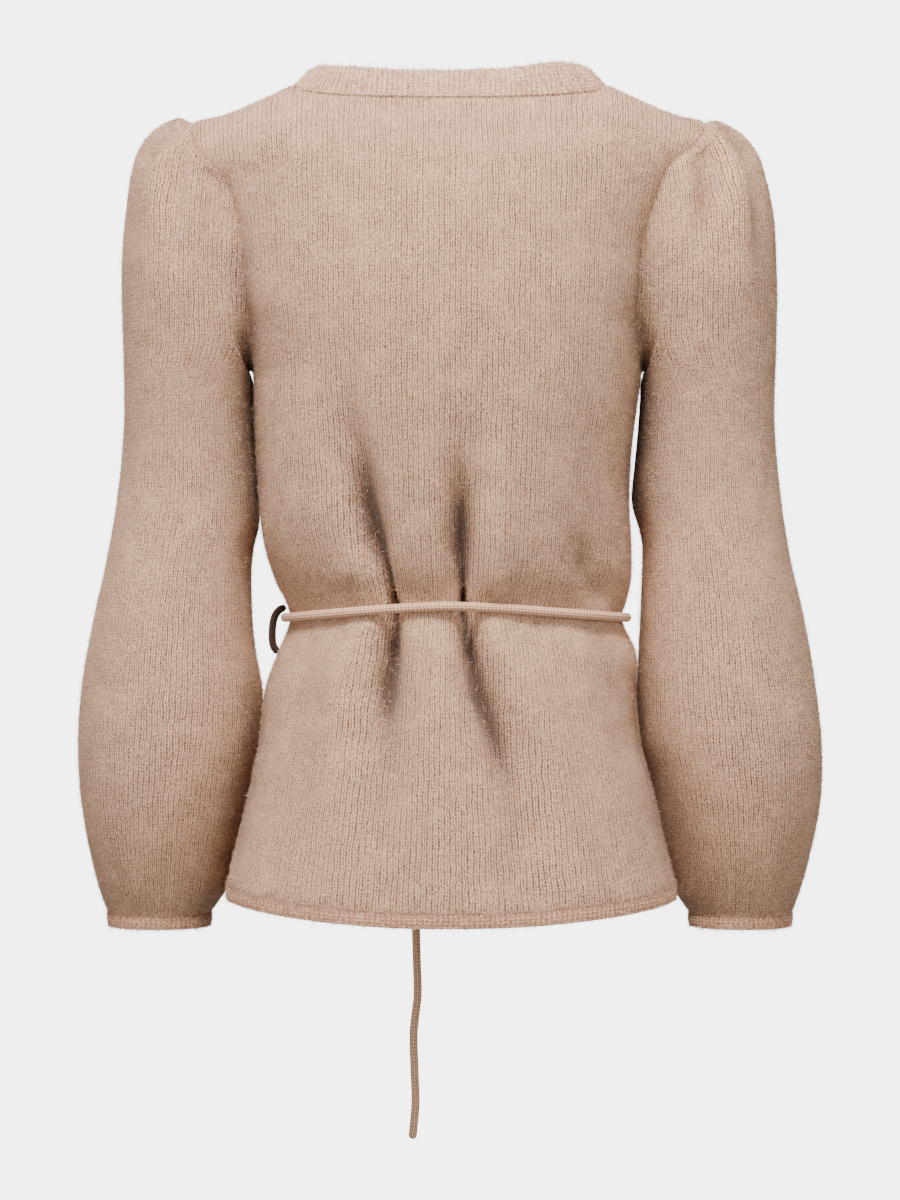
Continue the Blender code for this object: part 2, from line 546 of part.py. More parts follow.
def fold_rise(points, folds):
    """How far each point is moved out by a set of folds, seen along Y."""
    total = np.zeros(points.shape[:-1])
    for fold in folds:
        best = np.full(total.shape, np.inf)
        rise = np.zeros(total.shape)
        for a, b in zip(fold.stations, fold.stations[1:]):
            run = np.array([b.x - a.x, b.z - a.z])
            off = points[..., [0, 2]] - (a.x, a.z)
            t = np.clip(off @ run / (run @ run), 0, 1)
            gap = np.linalg.norm(off - t[..., None] * run, axis=-1)
            reach = a.reach + (b.reach - a.reach) * t
            height = (a.rise + (b.rise - a.rise) * t) * np.exp(-((gap / reach) ** 2))
            nearer = gap < best
            best = np.where(nearer, gap, best)
            rise = np.where(nearer, height, rise)
        total += rise
    return total


def flat_normals(normals, axis):
    """The normals with one axis taken out, so that a rim lies in a plane."""
    kept = normals.copy()
    kept[..., axis] = 0
    return unit(kept)


def seam_normals(edge, away):
    """Normals of an edge that lies in a plane across Y, so that both sides of its seam match."""
    run = edge_runs(edge)
    normals = unit(np.stack([run[:, 2], 0 * run[:, 0], -run[:, 0]], axis=1))
    return normals * np.sign((normals * away).sum(axis=1, keepdims=True))


def side_edge(height, side, face):
    """Where a panel's side edge lies: the side seam, then the armhole, which is round at the bottom."""
    width = side * HALF_WIDTH[side](height)
    if height <= UNDERARM_HEIGHT:
        return width
    cut = ARMHOLE[face](height)
    low = ARMHOLES[0].height
    if height < low:
        cut *= math.sqrt(1 - ((height - low) / (UNDERARM_HEIGHT - low)) ** 2)
    square = SQUARE(height)
    return width * (1 - (cut / DEPTH[face](height)) ** square) ** (1 / square)


def finish_seams(grid, normals, face):
    """Lays a panel's side and shoulder edges in their seams' planes."""
    seam_y = SEAM_GAP / 2 if face == "back" else -SEAM_GAP / 2
    side_rows = len(SIDE_ROWS)
    for column in (0, -1) if face == "back" else (0,):
        edge = grid[:side_rows, column]
        edge[:, 1] = seam_y
        normals[:side_rows, column] = seam_normals(edge, edge * (1, 0, 0))
    top = np.abs(grid[-1, :, 0]) > NECK_HALF_WIDTH - TINY
    grid[-1, top, 1] = seam_y
    for shoulder in (top & (grid[-1, :, 0] > 0), top & (grid[-1, :, 0] < 0)):
        if shoulder.any():
            normals[-1, shoulder] = seam_normals(grid[-1, shoulder], (0, 0, 1))
    normals[0] = flat_normals(normals[0], 2)
    return grid, normals


def back_steps():
    """Even steps across the back with one on each neck point, as shares of the way to each side."""
    steps = {}
    for side in (1, -1):
        tip = side_edge(SHOULDER_TIP_HEIGHT, side, "back")
        neck = arc_to(SHOULDER_TIP_HEIGHT, side * NECK_HALF_WIDTH, "back")
        share = neck / arc_to(SHOULDER_TIP_HEIGHT, tip, "back")
        across = round(BACK_COLUMNS * share)
        inner = np.linspace(0, share, across + 1)
        steps[side] = np.concatenate([inner, np.linspace(share, 1, BACK_COLUMNS - across + 1)[1:]])
    return steps


def top_offsets(arcs, face):
    """How far each column's top lies above the shoulder tip."""
    shares = shares_at(SHOULDER_TIP_HEIGHT, arcs, face)
    side = np.where(shares >= 0, HALF_WIDTH[1](SHOULDER_TIP_HEIGHT), HALF_WIDTH[-1](SHOULDER_TIP_HEIGHT))
    return top_height(shares * side) - SHOULDER_TIP_HEIGHT


def back_panel():
    """The back's outer points and normals; columns run from the wearer's left to right."""
    steps = back_steps()

    def columns(height):
        halves = {
            side: arc_to(height, side_edge(height, side, "back"), "back") * steps[side]
            for side in (1, -1)
        }
        return np.concatenate([halves[1][::-1], halves[-1][1:]])

    top_offset = top_offsets(columns(SHOULDER_TIP_HEIGHT), "back")
    top_offset[[0, -1]] = 0
    return finish_seams(*folded_panel(columns, "back", top_offset, BACK_FOLDS), "back")


def front_panel(side):
    """A front's outer points and normals from its side to its edge, and a band's width beyond."""
    steps = np.linspace(0, 1, FRONT_COLUMNS + 1)

    def columns(height):
        start = arc_to(height, side_edge(height, side, "front"), "front")
        end = arc_to(height, side * FRONT_EDGE(height), "front")
        return np.append(start + (end - start) * steps, end - side * NECKBAND_HEIGHT)

    top_offset = top_offsets(columns(SHOULDER_TIP_HEIGHT), "front")
    top_offset[0] = 0
    top_offset[-2:] = -SHOULDER_TIP_HEIGHT
    layer = under_layer if side > 0 else None
    grid, normals = folded_panel(columns, "front", top_offset, FRONT_FOLDS, layer)
    grid[-1, -2] = (side * NECK_HALF_WIDTH, 0, 0)
    return finish_seams(grid, normals, "front")


def under_layer(points):
    """How far the left front is moved in where the right front wraps over it."""
    across = smooth_step((UNDER_START_X - points[..., 0]) / UNDER_TURN_X)
    down = smooth_step((UNDER_START_Z - points[..., 2]) / UNDER_TURN_Z)
    return (WALL + LAYER_GAP) * across * down


def edge_outward(edge, inside, normals):
    """Unit vectors that lead on from a panel's edge in its own surface."""
    lead = unit(np.cross(edge_runs(edge), normals))
    return lead * np.sign(((edge - inside) * lead).sum())


def armhole_loop(back, front, side):
    """The armhole's points, normals and outward leads: underarm, up the back, down the front."""
    column = 0 if side > 0 else -1
    inner = 1 if side > 0 else -2
    first = len(SIDE_ROWS) - 1
    (back_grid, back_normals), (front_grid, front_normals) = back, front
    back_edge, back_in = back_grid[first:, column], back_grid[first - 1:-1, inner]
    front_edge, front_in = front_grid[first:, 0], front_grid[first - 1:-1, 1]
    back_n, front_n = back_normals[first:, column], front_normals[first:, 0]
    back_lead = edge_outward(back_edge, back_in, back_n)
    front_lead = edge_outward(front_edge, front_in, front_n)
    points = np.concatenate([back_edge, front_edge[-2:0:-1]])
    normals = np.concatenate([back_n, front_n[-2:0:-1]])
    leads = np.concatenate([back_lead, front_lead[-2:0:-1]])
    top = len(back_edge) - 1
    for place in (0, top):
        points[place, 1] = 0
        normals[place] = flat_normals(normals[place], 1)
    leads[0] = (0, 0, 1)
    leads[top] = unit(np.array([side * 1.0, 0, -0.4]))
    return points, normals, leads, top


def sleeve_grid(back, front, side):
    """A sleeve's outer points and normals, ring by ring from the armhole to the cuff."""
    loop, loop_normals, leads, top = armhole_loop(back, front, side)
    count = len(loop)
    lengths = np.linalg.norm(np.roll(loop, -1, axis=0) - loop, axis=1)
    reach = np.concatenate([[0], np.cumsum(lengths)])
    half = reach[top]
    angle = np.where(
        np.arange(count) <= top,
        math.pi * reach[:count] / half,
        math.pi + math.pi * (reach[:count] - half) / (reach[count] - half),
    )
    low, high = loop[0], loop[top]
    chord = (high - low) * (1, 0, 1)
    length = np.linalg.norm(chord)
    chord = chord / length
    across = np.array([chord[2], 0, -chord[0]])
    middle = (low + high) / 2
    loop_along = (loop - middle) @ chord / (length / 2)
    loop_across = (loop - middle) @ across
    rings = [loop + leads * SEAM_GAP, loop + leads * HEAD_LIFT[0] + loop_normals * HEAD_LIFT[1]]
    for number, ring in enumerate(SLEEVES[side]):
        head = HEAD[number] if number < len(HEAD) else HeadRing(1.0, 0.0)
        blend = head.oval
        inner = np.array([side * ring.inner_x, 0, ring.inner_z])
        outer = np.array([side * ring.outer_x, 0, ring.outer_z])
        run = outer - inner
        size = np.linalg.norm(run)
        run = run / size
        off = np.array([run[2], 0, -run[0]])
        along = loop_along + (-np.cos(angle) - loop_along) * blend
        y = loop[:, 1] + (ring.middle + ring.depth * np.sin(angle) - loop[:, 1]) * blend
        point = (inner + outer) / 2 + np.outer(along * size / 2, run) + np.outer(loop_across * (1 - blend), off)
        point[:, 1] = y
        rings.append(point + leads * head.push * (np.sin(angle / 2) ** 2)[:, None])
    grid = np.array(rings)
    normals = ring_normals(grid)
    if side < 0:
        front_folds = tuple(
            Fold(f.name, tuple(s._replace(x=-s.x) for s in f.stations)) for f in SLEEVE_FRONT_FOLDS
        )
    else:
        front_folds = SLEEVE_FRONT_FOLDS
    from_behind = grid[..., 1] > grid[..., 1].mean(axis=1, keepdims=True)
    rise = np.where(from_behind, fold_rise(grid, SLEEVE_BACK_FOLDS[side]), fold_rise(grid, front_folds))
    rise[:2] = 0
    grid = grid + normals * rise[..., None]
    normals = ring_normals(grid)
    normals[0] = loop_normals
    normals[-1] = flat_normals(normals[-1], 2)
    return grid, normals


def rim_faces(mesh_edit, outer, inner):
    """Two triangles of a rim, split the same way on both sides of a seam: from the higher outer point."""
    high, low = (0, 1) if outer[0].co.z >= outer[1].co.z else (1, 0)
    mesh_edit.faces.new((outer[high], outer[low], inner[low]))
    mesh_edit.faces.new((outer[high], inner[low], inner[high]))


def wall(name, outer, normals, finish, closed=False, inner=None):
    """A closed wall from a grid of outer points, the same points moved in, and a rim."""
    if inner is None:
        inner = outer - normals * WALL
    rows, columns = outer.shape[:2]
    mesh_edit = bmesh.new()
    sheets = [
        [[mesh_edit.verts.new(point) for point in row] for row in sheet] for sheet in (outer, inner)
    ]
    wrap = columns if closed else columns - 1
    for sheet in sheets:
        for r in range(rows - 1):
            for c in range(wrap):
                d = (c + 1) % columns
                mesh_edit.faces.new((sheet[r][c], sheet[r][d], sheet[r + 1][d], sheet[r + 1][c]))
    for r in (0, rows - 1):
        for c in range(wrap):
            rim_faces(mesh_edit, *((sheet[r][c], sheet[r][(c + 1) % columns]) for sheet in sheets))
    if not closed:
        for c in (0, columns - 1):
            for r in range(rows - 1):
                rim_faces(mesh_edit, *((sheet[r][c], sheet[r + 1][c]) for sheet in sheets))
    bmesh.ops.recalc_face_normals(mesh_edit, faces=mesh_edit.faces)
    mesh = bpy.data.meshes.new(name)
    mesh_edit.to_mesh(mesh)
    mesh_edit.free()
    mesh.shade_smooth()
    mesh.set_sharp_from_angle(angle=SHARP_ANGLE)
    return add_object(name, mesh, finish)


def add_object(name, data, finish):
    """Links an object with its own material."""
    label, colour = finish
    material = bpy.data.materials.new(f"{label}_{name}")
    material.use_nodes = True
    shader = material.node_tree.nodes["Principled BSDF"]
    shader.inputs["Base Color"].default_value = colour
    shader.inputs["Roughness"].default_value = 0.9
    shader.inputs["Metallic"].default_value = 0.0
    data.materials.append(material)
    made = bpy.data.objects.new(name, data)
    bpy.context.scene.collection.objects.link(made)
    return made


def hem_band(name, panel):
    """The narrow rib under a panel, which shares the panel's bottom edge."""
    grid, normals = panel
    edge, out = grid[0], normals[0]
    rows = [
        edge + (0, 0, -SEAM_GAP),
        edge + out * HEM_SWELL + (0, 0, -HEM_HEIGHT / 2),
        edge + out * HEM_EDGE_OUT + (0, 0, -HEM_HEIGHT),
    ]
    wall(name, np.array(rows), np.array([out] * len(rows)), RIB)


def neckband_back(back):
    """The standing rib across the back neck, with its ribs raised."""
    grid, normals = back
    on_neck = np.flatnonzero(np.abs(grid[-1, :, 0]) <= NECK_HALF_WIDTH + TINY)
    edge, edge_normals = grid[-1, on_neck], normals[-1, on_neck]
    run = np.concatenate([[0], np.cumsum(np.linalg.norm(np.diff(edge, axis=0), axis=1))])
    ribs = round(run[-1] / RIB_PITCH)
    at = np.linspace(0, run[-1], 2 * ribs + 1)
    line = np.stack([np.interp(at, run, edge[:, k]) for k in range(3)], axis=1)
    through = np.stack([np.interp(at, run, edge_normals[:, k]) for k in range(3)], axis=1)
    share = np.clip(line[:, 0] / NECK_HALF_WIDTH, -1, 1)
    lean = unit(np.stack([
        -NECKBAND_LEAN[0] * share**3,
        NECKBAND_BACK_LEAN * (1 - share**2),
        NECKBAND_LEAN[2] + (1 - NECKBAND_LEAN[2]) * (1 - share**2),
    ], axis=1))
    free = line + lean * NECKBAND_HEIGHT
    out = unit(np.cross(lean, edge_runs(line)))
    out *= np.sign((out * through).sum(axis=1, keepdims=True))
    out[[0, -1]] = flat_normals(out[[0, -1]], 1)
    rise = np.where(np.arange(len(at)) % 2 == 1, RIB_RISE, 0.0)[:, None]
    foot = line + lean * (BAND_FOOT * (1 + share**4))[:, None]
    outer = np.array([foot + through * rise, free + out * rise])
    inner = np.array([foot - through * WALL, free - out * WALL])
    for sheet in (outer, inner):
        sheet[:, [0, -1], 1] = SEAM_GAP / 2
    wall("neckband_back", outer, None, RIB, inner=inner)


def front_band(name, side, panel):
    """The rib along a front's edge, from the shoulder seam to the hem."""
    grid, normals = panel
    edge, laid, through = grid[:, -2], grid[:, -1], normals[:, -2]
    drop = (0, 0, HEM_HEIGHT)
    edge = np.concatenate([[edge[0] - drop], edge])
    laid = np.concatenate([[laid[0] - drop], laid])
    through = np.concatenate([[through[0]], through])
    turned = smooth_step((edge[:, 2] + BAND_TURN_LENGTH) / BAND_TURN_LENGTH)[:, None]
    top_lead = np.array([-side * NECKBAND_LEAN[0], NECKBAND_LEAN[1], NECKBAND_LEAN[2]])
    lead = unit(unit(laid - edge) * (1 - turned) + top_lead * turned)
    out = unit(np.cross(lead, edge_runs(edge)))
    out *= np.sign((out * through).sum(axis=1, keepdims=True))
    out[-1] = flat_normals(out[-1], 1)
    free = edge + lead * NECKBAND_HEIGHT
    outer = np.array([edge + lead * BAND_FOOT, free])
    inner = np.array([outer[0] - through * WALL, outer[1] - out * WALL])
    for sheet in (outer, inner):
        sheet[:, -1, 1] = -SEAM_GAP / 2
    wall(name, outer, None, RIB, inner=inner)


def cuff(name, sleeve):
    """The narrow rib that gathers a sleeve's end."""
    grid, normals = sleeve
    edge, out = grid[-1], normals[-1]
    bottom = edge * (1, 1, 0) + (0, 0, CUFF_BOTTOM)
    rows = [
        edge + (0, 0, -SEAM_GAP),
        (edge + bottom) / 2 + out * CUFF_SPREAD,
        bottom - out * CUFF_SPREAD,
    ]
    wall(name, np.array(rows), np.array([out] * len(rows)), RIB, closed=True)


def smooth_route(route, step):
    """Points a step apart along a smooth curve through a route."""
    points = np.array(route, float)
    ahead = np.concatenate([[2 * points[0] - points[1]], points, [2 * points[-1] - points[-2]]])
    fine = []
    for before, start, end, after in zip(ahead, ahead[1:], ahead[2:], ahead[3:]):
        for t in np.arange(0, 1, ROUTE_SHARE):
            fine.append(0.5 * (
                2 * start + (end - before) * t
                + (2 * before - 5 * start + 4 * end - after) * t**2
                + (3 * start - before - 3 * end + after) * t**3
            ))
    fine = np.array(fine + [points[-1]])
    run = np.concatenate([[0], np.cumsum(np.linalg.norm(np.diff(fine, axis=0), axis=1))])
    at = np.linspace(0, run[-1], max(round(run[-1] / step), 4) + 1)
    return np.stack([np.interp(at, run, fine[:, k]) for k in range(3)], axis=1)


def cord(name, route, radius, step):
    """A round cord along a route, with closed ends."""
    curve = bpy.data.curves.new(name, "CURVE")
    curve.dimensions = "3D"
    curve.bevel_depth = radius
    curve.bevel_resolution = 2
    curve.use_fill_caps = True
    points = smooth_route(route, step)
    spline = curve.splines.new("POLY")
    spline.points.add(len(points) - 1)
    for target, point in zip(spline.points, points):
        target.co = (*point, 1.0)
    add_object(name, curve, CORD)


def knot():
    """The tie's knot: a lump with the tie's turns raised round it."""
    angle = np.arange(KNOT_SIDES) * 2 * math.pi / KNOT_SIDES
    mesh_edit = bmesh.new()
    rings = []
    for turn in KNOT_TURNS:
        around = np.stack([
            turn.wide * np.cos(angle), turn.deep * np.sin(angle), np.full(KNOT_SIDES, turn.height)
        ], axis=1)
        rings.append([mesh_edit.verts.new(point) for point in around + KNOT_CENTRE])
    for upper, lower in zip(rings, rings[1:]):
        for c in range(KNOT_SIDES):
            d = (c + 1) % KNOT_SIDES
            mesh_edit.faces.new((upper[c], upper[d], lower[d], lower[c]))
    mesh_edit.faces.new(rings[0])
    mesh_edit.faces.new(rings[-1])
    bmesh.ops.recalc_face_normals(mesh_edit, faces=mesh_edit.faces)
    mesh = bpy.data.meshes.new("tie_knot")
    mesh_edit.to_mesh(mesh)
    mesh_edit.free()
    mesh.shade_smooth()
    add_object("tie_knot", mesh, CORD)


def clear_scene():
    """Takes everything out of the scene."""
    for made in list(bpy.data.objects):
        bpy.data.objects.remove(made, do_unlink=True)


def main():
    """Builds the cardigan's pieces."""
    clear_scene()
    back = back_panel()
    fronts = {side: front_panel(side) for side in (1, -1)}
    names = {1: "left", -1: "right"}
    wall("back", *back, WOOL)
    neckband_back(back)
    hem_band("hem_back", back)
    for side, label in names.items():
        panel = tuple(values[:, :-1] for values in fronts[side])
        wall(f"front_{label}", *panel, WOOL)
        front_band(f"neckband_{label}", side, fronts[side])
        hem_band(f"hem_{label}", panel)
        sleeve = sleeve_grid(back, fronts[side], side)
        wall(f"sleeve_{label}", *sleeve, WOOL, closed=True)
        cuff(f"cuff_{label}", sleeve)
    cord("tie_waist", TIE_ROUTE, CORD_RADIUS, CORD_STEP)
    cord("tie_end", END_ROUTE, CORD_RADIUS, CORD_STEP)
    cord("carrier_loop", LOOP_ROUTE, LOOP_RADIUS, LOOP_STEP)
    knot()


main()
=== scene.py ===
"""Looks for a wrap cardigan in brushed wool knit, filled out as if worn, seen from behind.

Metres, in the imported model's frame: +Z up, the front faces -Y and the wearer's left is +X. Every
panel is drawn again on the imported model's own surfaces, finely enough to carry small gathers, with
its stitches in its material, its ribs raised and a nap of short fibres over the wool.
"""

from __future__ import annotations

import logging
import math
from abc import ABC, abstractmethod
from collections.abc import Sequence
from dataclasses import dataclass, field, replace
from enum import Enum, IntEnum
from functools import cached_property
from typing import NamedTuple, TypeVar

import bpy
import numpy as np
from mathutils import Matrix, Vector

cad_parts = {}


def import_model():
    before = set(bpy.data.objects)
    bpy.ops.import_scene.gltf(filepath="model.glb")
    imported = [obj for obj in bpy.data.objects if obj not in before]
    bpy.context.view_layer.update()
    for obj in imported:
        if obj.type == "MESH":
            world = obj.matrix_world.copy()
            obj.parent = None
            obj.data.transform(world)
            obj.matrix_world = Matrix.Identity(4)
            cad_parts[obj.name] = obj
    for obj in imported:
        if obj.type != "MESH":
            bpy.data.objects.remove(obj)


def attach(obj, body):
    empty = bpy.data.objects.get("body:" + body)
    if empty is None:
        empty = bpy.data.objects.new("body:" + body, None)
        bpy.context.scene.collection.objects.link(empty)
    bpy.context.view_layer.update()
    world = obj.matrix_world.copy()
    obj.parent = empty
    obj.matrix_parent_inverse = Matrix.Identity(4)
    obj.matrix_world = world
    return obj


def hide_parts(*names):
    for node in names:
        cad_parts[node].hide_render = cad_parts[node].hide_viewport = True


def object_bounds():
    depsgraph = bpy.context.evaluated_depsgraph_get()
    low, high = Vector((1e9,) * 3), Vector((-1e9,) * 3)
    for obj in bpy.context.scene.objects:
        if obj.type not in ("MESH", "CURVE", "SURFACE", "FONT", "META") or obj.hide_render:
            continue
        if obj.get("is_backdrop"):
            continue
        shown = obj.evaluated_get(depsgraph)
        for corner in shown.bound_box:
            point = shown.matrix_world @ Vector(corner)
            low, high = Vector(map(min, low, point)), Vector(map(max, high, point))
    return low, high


LOG = logging.getLogger("cardigan")
TAU = 2 * math.pi
PAST_SIDE = 0.99  # an x in metres that lies past any side edge
SLIGHT = 1e-5
ARC_POINTS = 240
BEND_POINTS = 80
TOP_POINTS = 120
ROUTE_SHARE = 0.05
ROOT = "root"
Colour = tuple[float, float, float, float]


class Side(IntEnum):
    """The wearer's left or right, as the sign of X."""

    LEFT = 1
    RIGHT = -1

    @property
    def label(self) -> str:
        """The side's word in a node's name."""
        return self.name.lower()


class Face(Enum):
    """A body panel's side of the body."""

    BACK = "back"
    FRONT = "front"


class Section(NamedTuple):
    """Half-widths to the wearer's left and right, depths back and front, and how square it is."""

    height: float
    left: float
    right: float
    back: float
    front: float
    square: float


class Armhole(NamedTuple):
    """How far behind and in front of the side seam the armhole is cut."""

    height: float
    back: float
    front: float


class Shoulder(NamedTuple):
    """A point of the shoulder line, from the neck out."""

    out: float
    height: float


class Window(NamedTuple):
    """A stretch of heights that fades in from its top and out to its bottom."""

    top: float
    top_fade: float
    bottom: float
    bottom_fade: float

    def share(self, z: np.ndarray) -> np.ndarray:
        """From 0 to 1, how far each height lies in the stretch."""
        under = smooth_step((self.top - z) / self.top_fade)
        return under * smooth_step((z - self.bottom) / self.bottom_fade)


class CollarTop(NamedTuple):
    """How high the back neckband's free edge stands at a share of the way to each neck point."""

    share: float
    left: float
    right: float


class FrontEdge(NamedTuple):
    """A front panel's edge, from the middle towards its own side."""

    height: float
    out: float


class Station(NamedTuple):
    """A place along a fold, how far it rises (down where negative) and its half-width."""

    x: float
    z: float
    rise: float
    reach: float


class Ring(NamedTuple):
    """A sleeve's ring seen from behind, half its depth, and its middle in Y."""

    outer_x: float
    outer_z: float
    inner_x: float
    inner_z: float
    depth: float
    middle: float


class HeadRing(NamedTuple):
    """How far a ring of the sleeve's head has turned into an oval, and how far its top is pushed on."""

    oval: float
    push: float


Row = TypeVar("Row")


def table(kind: type[Row], rows: Sequence[tuple[float, ...]]) -> tuple[Row, ...]:
    """Rows of numbers in the order of a kind's fields, each as one of that kind."""
    return tuple(kind(*row) for row in rows)


@dataclass(frozen=True)
class Sizes:
    """The cardigan's driving sizes."""

    wall: float = 0.0026
    seam_gap: float = 0.0003
    layer_depth: float = 0.0048
    layer_x: float = 0.085
    layer_x_fade: float = 0.040
    layer_top: float = -0.170
    layer_top_fade: float = 0.050
    neck_half_width: float = 0.1115
    neck_depth: float = 0.062
    neck_drop: float = 0.0174
    neck_curve: float = 2.5
    shoulder_tip: float = -0.030
    shoulder_rounding: float = 0.050
    tip_out: float = 0.183
    tip_spread: float = 0.014
    tip_lift: float = 0.0038
    neckband: float = 0.0200
    neckband_end: float = 0.0165
    band_turn: float = 0.085
    hem: float = 0.0105
    hem_edge: float = -0.5800
    cuff_bottom: float = -0.6030
    waist: float = -0.3800
    underarm: float = -0.2070
    lowest_row: float = -0.5695
    back_hem_drop: float = 0.0130
    waist_rise: float = 0.0080
    rib_pitch: float = 0.0036
    rib_rise: float = 0.0006
    tuck: float = 0.0004
    ridge_gain: float = 1.6
    crease_start: float = 0.0060
    crease_depth: float = 0.0125
    cord_radius: float = 0.0032
    loop_radius: float = 0.0027
    cord_step: float = 0.0008
    mesh_step: float = 0.0036
    back_step: float = 0.0030
    sleeve_turn: float = 0.380
    probe: float = 0.0010
    top_lead: float = 0.02


SIZES = Sizes()

SECTIONS = table(Section, (
    (-0.595, 0.164, 0.166, 0.124, 0.134, 2.45), (-0.58, 0.161, 0.163, 0.121, 0.132, 2.45),
    (-0.548, 0.154, 0.155, 0.117, 0.129, 2.45), (-0.512, 0.1455, 0.147, 0.112, 0.125, 2.45),
    (-0.47, 0.137, 0.1375, 0.1045, 0.119, 2.4), (-0.43, 0.132, 0.1335, 0.0965, 0.1115, 2.3),
    (-0.404, 0.1225, 0.1325, 0.0895, 0.104, 2.2), (-0.39, 0.1165, 0.126, 0.084, 0.0985, 2.15),
    (-0.38, 0.114, 0.1225, 0.0815, 0.096, 2.15), (-0.37, 0.1165, 0.1255, 0.085, 0.099, 2.15),
    (-0.355, 0.124, 0.129, 0.093, 0.106, 2.2), (-0.33, 0.132, 0.13, 0.0995, 0.113, 2.3),
    (-0.3, 0.136, 0.1285, 0.104, 0.118, 2.35), (-0.26, 0.1385, 0.13, 0.108, 0.123, 2.35),
    (-0.23, 0.14, 0.1335, 0.1105, 0.1245, 2.35), (-0.207, 0.1405, 0.1365, 0.112, 0.123, 2.3),
    (-0.195, 0.143, 0.137, 0.1125, 0.121, 2.3), (-0.178, 0.1475, 0.1385, 0.113, 0.1175, 2.3),
    (-0.15, 0.1575, 0.145, 0.112, 0.111, 2.3), (-0.12, 0.162, 0.149, 0.109, 0.1035, 2.3),
    (-0.095, 0.168, 0.158, 0.1045, 0.097, 2.3), (-0.075, 0.179, 0.168, 0.098, 0.091, 2.3),
    (-0.064, 0.1885, 0.175, 0.094, 0.087, 2.3), (-0.056, 0.196, 0.183, 0.09, 0.084, 2.3),
    (-0.048, 0.203, 0.1935, 0.085, 0.08, 2.3), (-0.04, 0.206, 0.201, 0.079, 0.075, 2.3),
    (-0.03, 0.205, 0.203, 0.072, 0.07, 2.3),
))

ARMHOLES = table(Armhole, (
    (-0.132, 0.055, 0.057), (-0.1, 0.056, 0.057), (-0.08, 0.055, 0.055), (-0.064, 0.053, 0.052),
    (-0.05, 0.048, 0.046), (-0.04, 0.043, 0.0415), (-0.03, 0.038, 0.037),
))

SHOULDERS = table(Shoulder, (
    (0.1115, 0.0), (0.13, -0.0085), (0.15, -0.0172), (0.17, -0.0246), (0.183, -0.03),
))

FRONT_EDGES = table(FrontEdge, (
    (-0.595, -0.019), (-0.43, -0.015), (-0.375, -0.012), (-0.34, -0.005), (-0.3, 0.006), (-0.25, 0.023),
    (-0.2, 0.041), (-0.15, 0.06), (-0.1, 0.08), (-0.06, 0.097), (-0.03, 0.1115),
))

COLLAR_TOPS = table(CollarTop, (
    (0.0, 0.0034, 0.0034), (0.35, 0.0042, 0.005), (0.5, 0.0055, 0.0071), (0.6, 0.0066, 0.0092),
    (0.7, 0.0078, 0.0105), (0.8, 0.0088, 0.0115), (0.9, 0.0102, 0.0118), (0.95, 0.0113, 0.0119),
    (1.0, 0.0121, 0.0121),
))


@dataclass(frozen=True)
class Fold:
    """A soft trough or ridge along a path seen from behind or in front."""

    name: str
    stations: tuple[Station, ...]

    def mirrored(self) -> Fold:
        """The same fold on the other side."""
        return Fold(self.name, tuple(s._replace(x=-s.x) for s in self.stations))

    def rise_at(self, points: np.ndarray) -> np.ndarray:
        """How far the fold moves each point out, seen along Y.

        Args:
            points: Points with X, Y and Z in the last axis.

        Returns:
            The rise at each point, in metres.
        """
        best = np.full(points.shape[:-1], np.inf)
        rise = np.zeros(points.shape[:-1])
        for a, b in zip(self.stations, self.stations[1:]):
            run = np.array([b.x - a.x, b.z - a.z])
            off = points[..., [0, 2]] - (a.x, a.z)
            t = np.clip(off @ run / (run @ run), 0, 1)
            gap = np.linalg.norm(off - t[..., None] * run, axis=-1)
            reach = a.reach + (b.reach - a.reach) * t
            height = (a.rise + (b.rise - a.rise) * t) * np.exp(-((gap / reach) ** 2))
            nearer = gap < best
            best = np.where(nearer, gap, best)
            rise = np.where(nearer, height, rise)
        return rise


def fold(name: str, rows: Sequence[tuple[float, float, float, float]]) -> Fold:
    """A fold through stations given as rows of x, z, rise and reach."""
    return Fold(name, table(Station, rows))


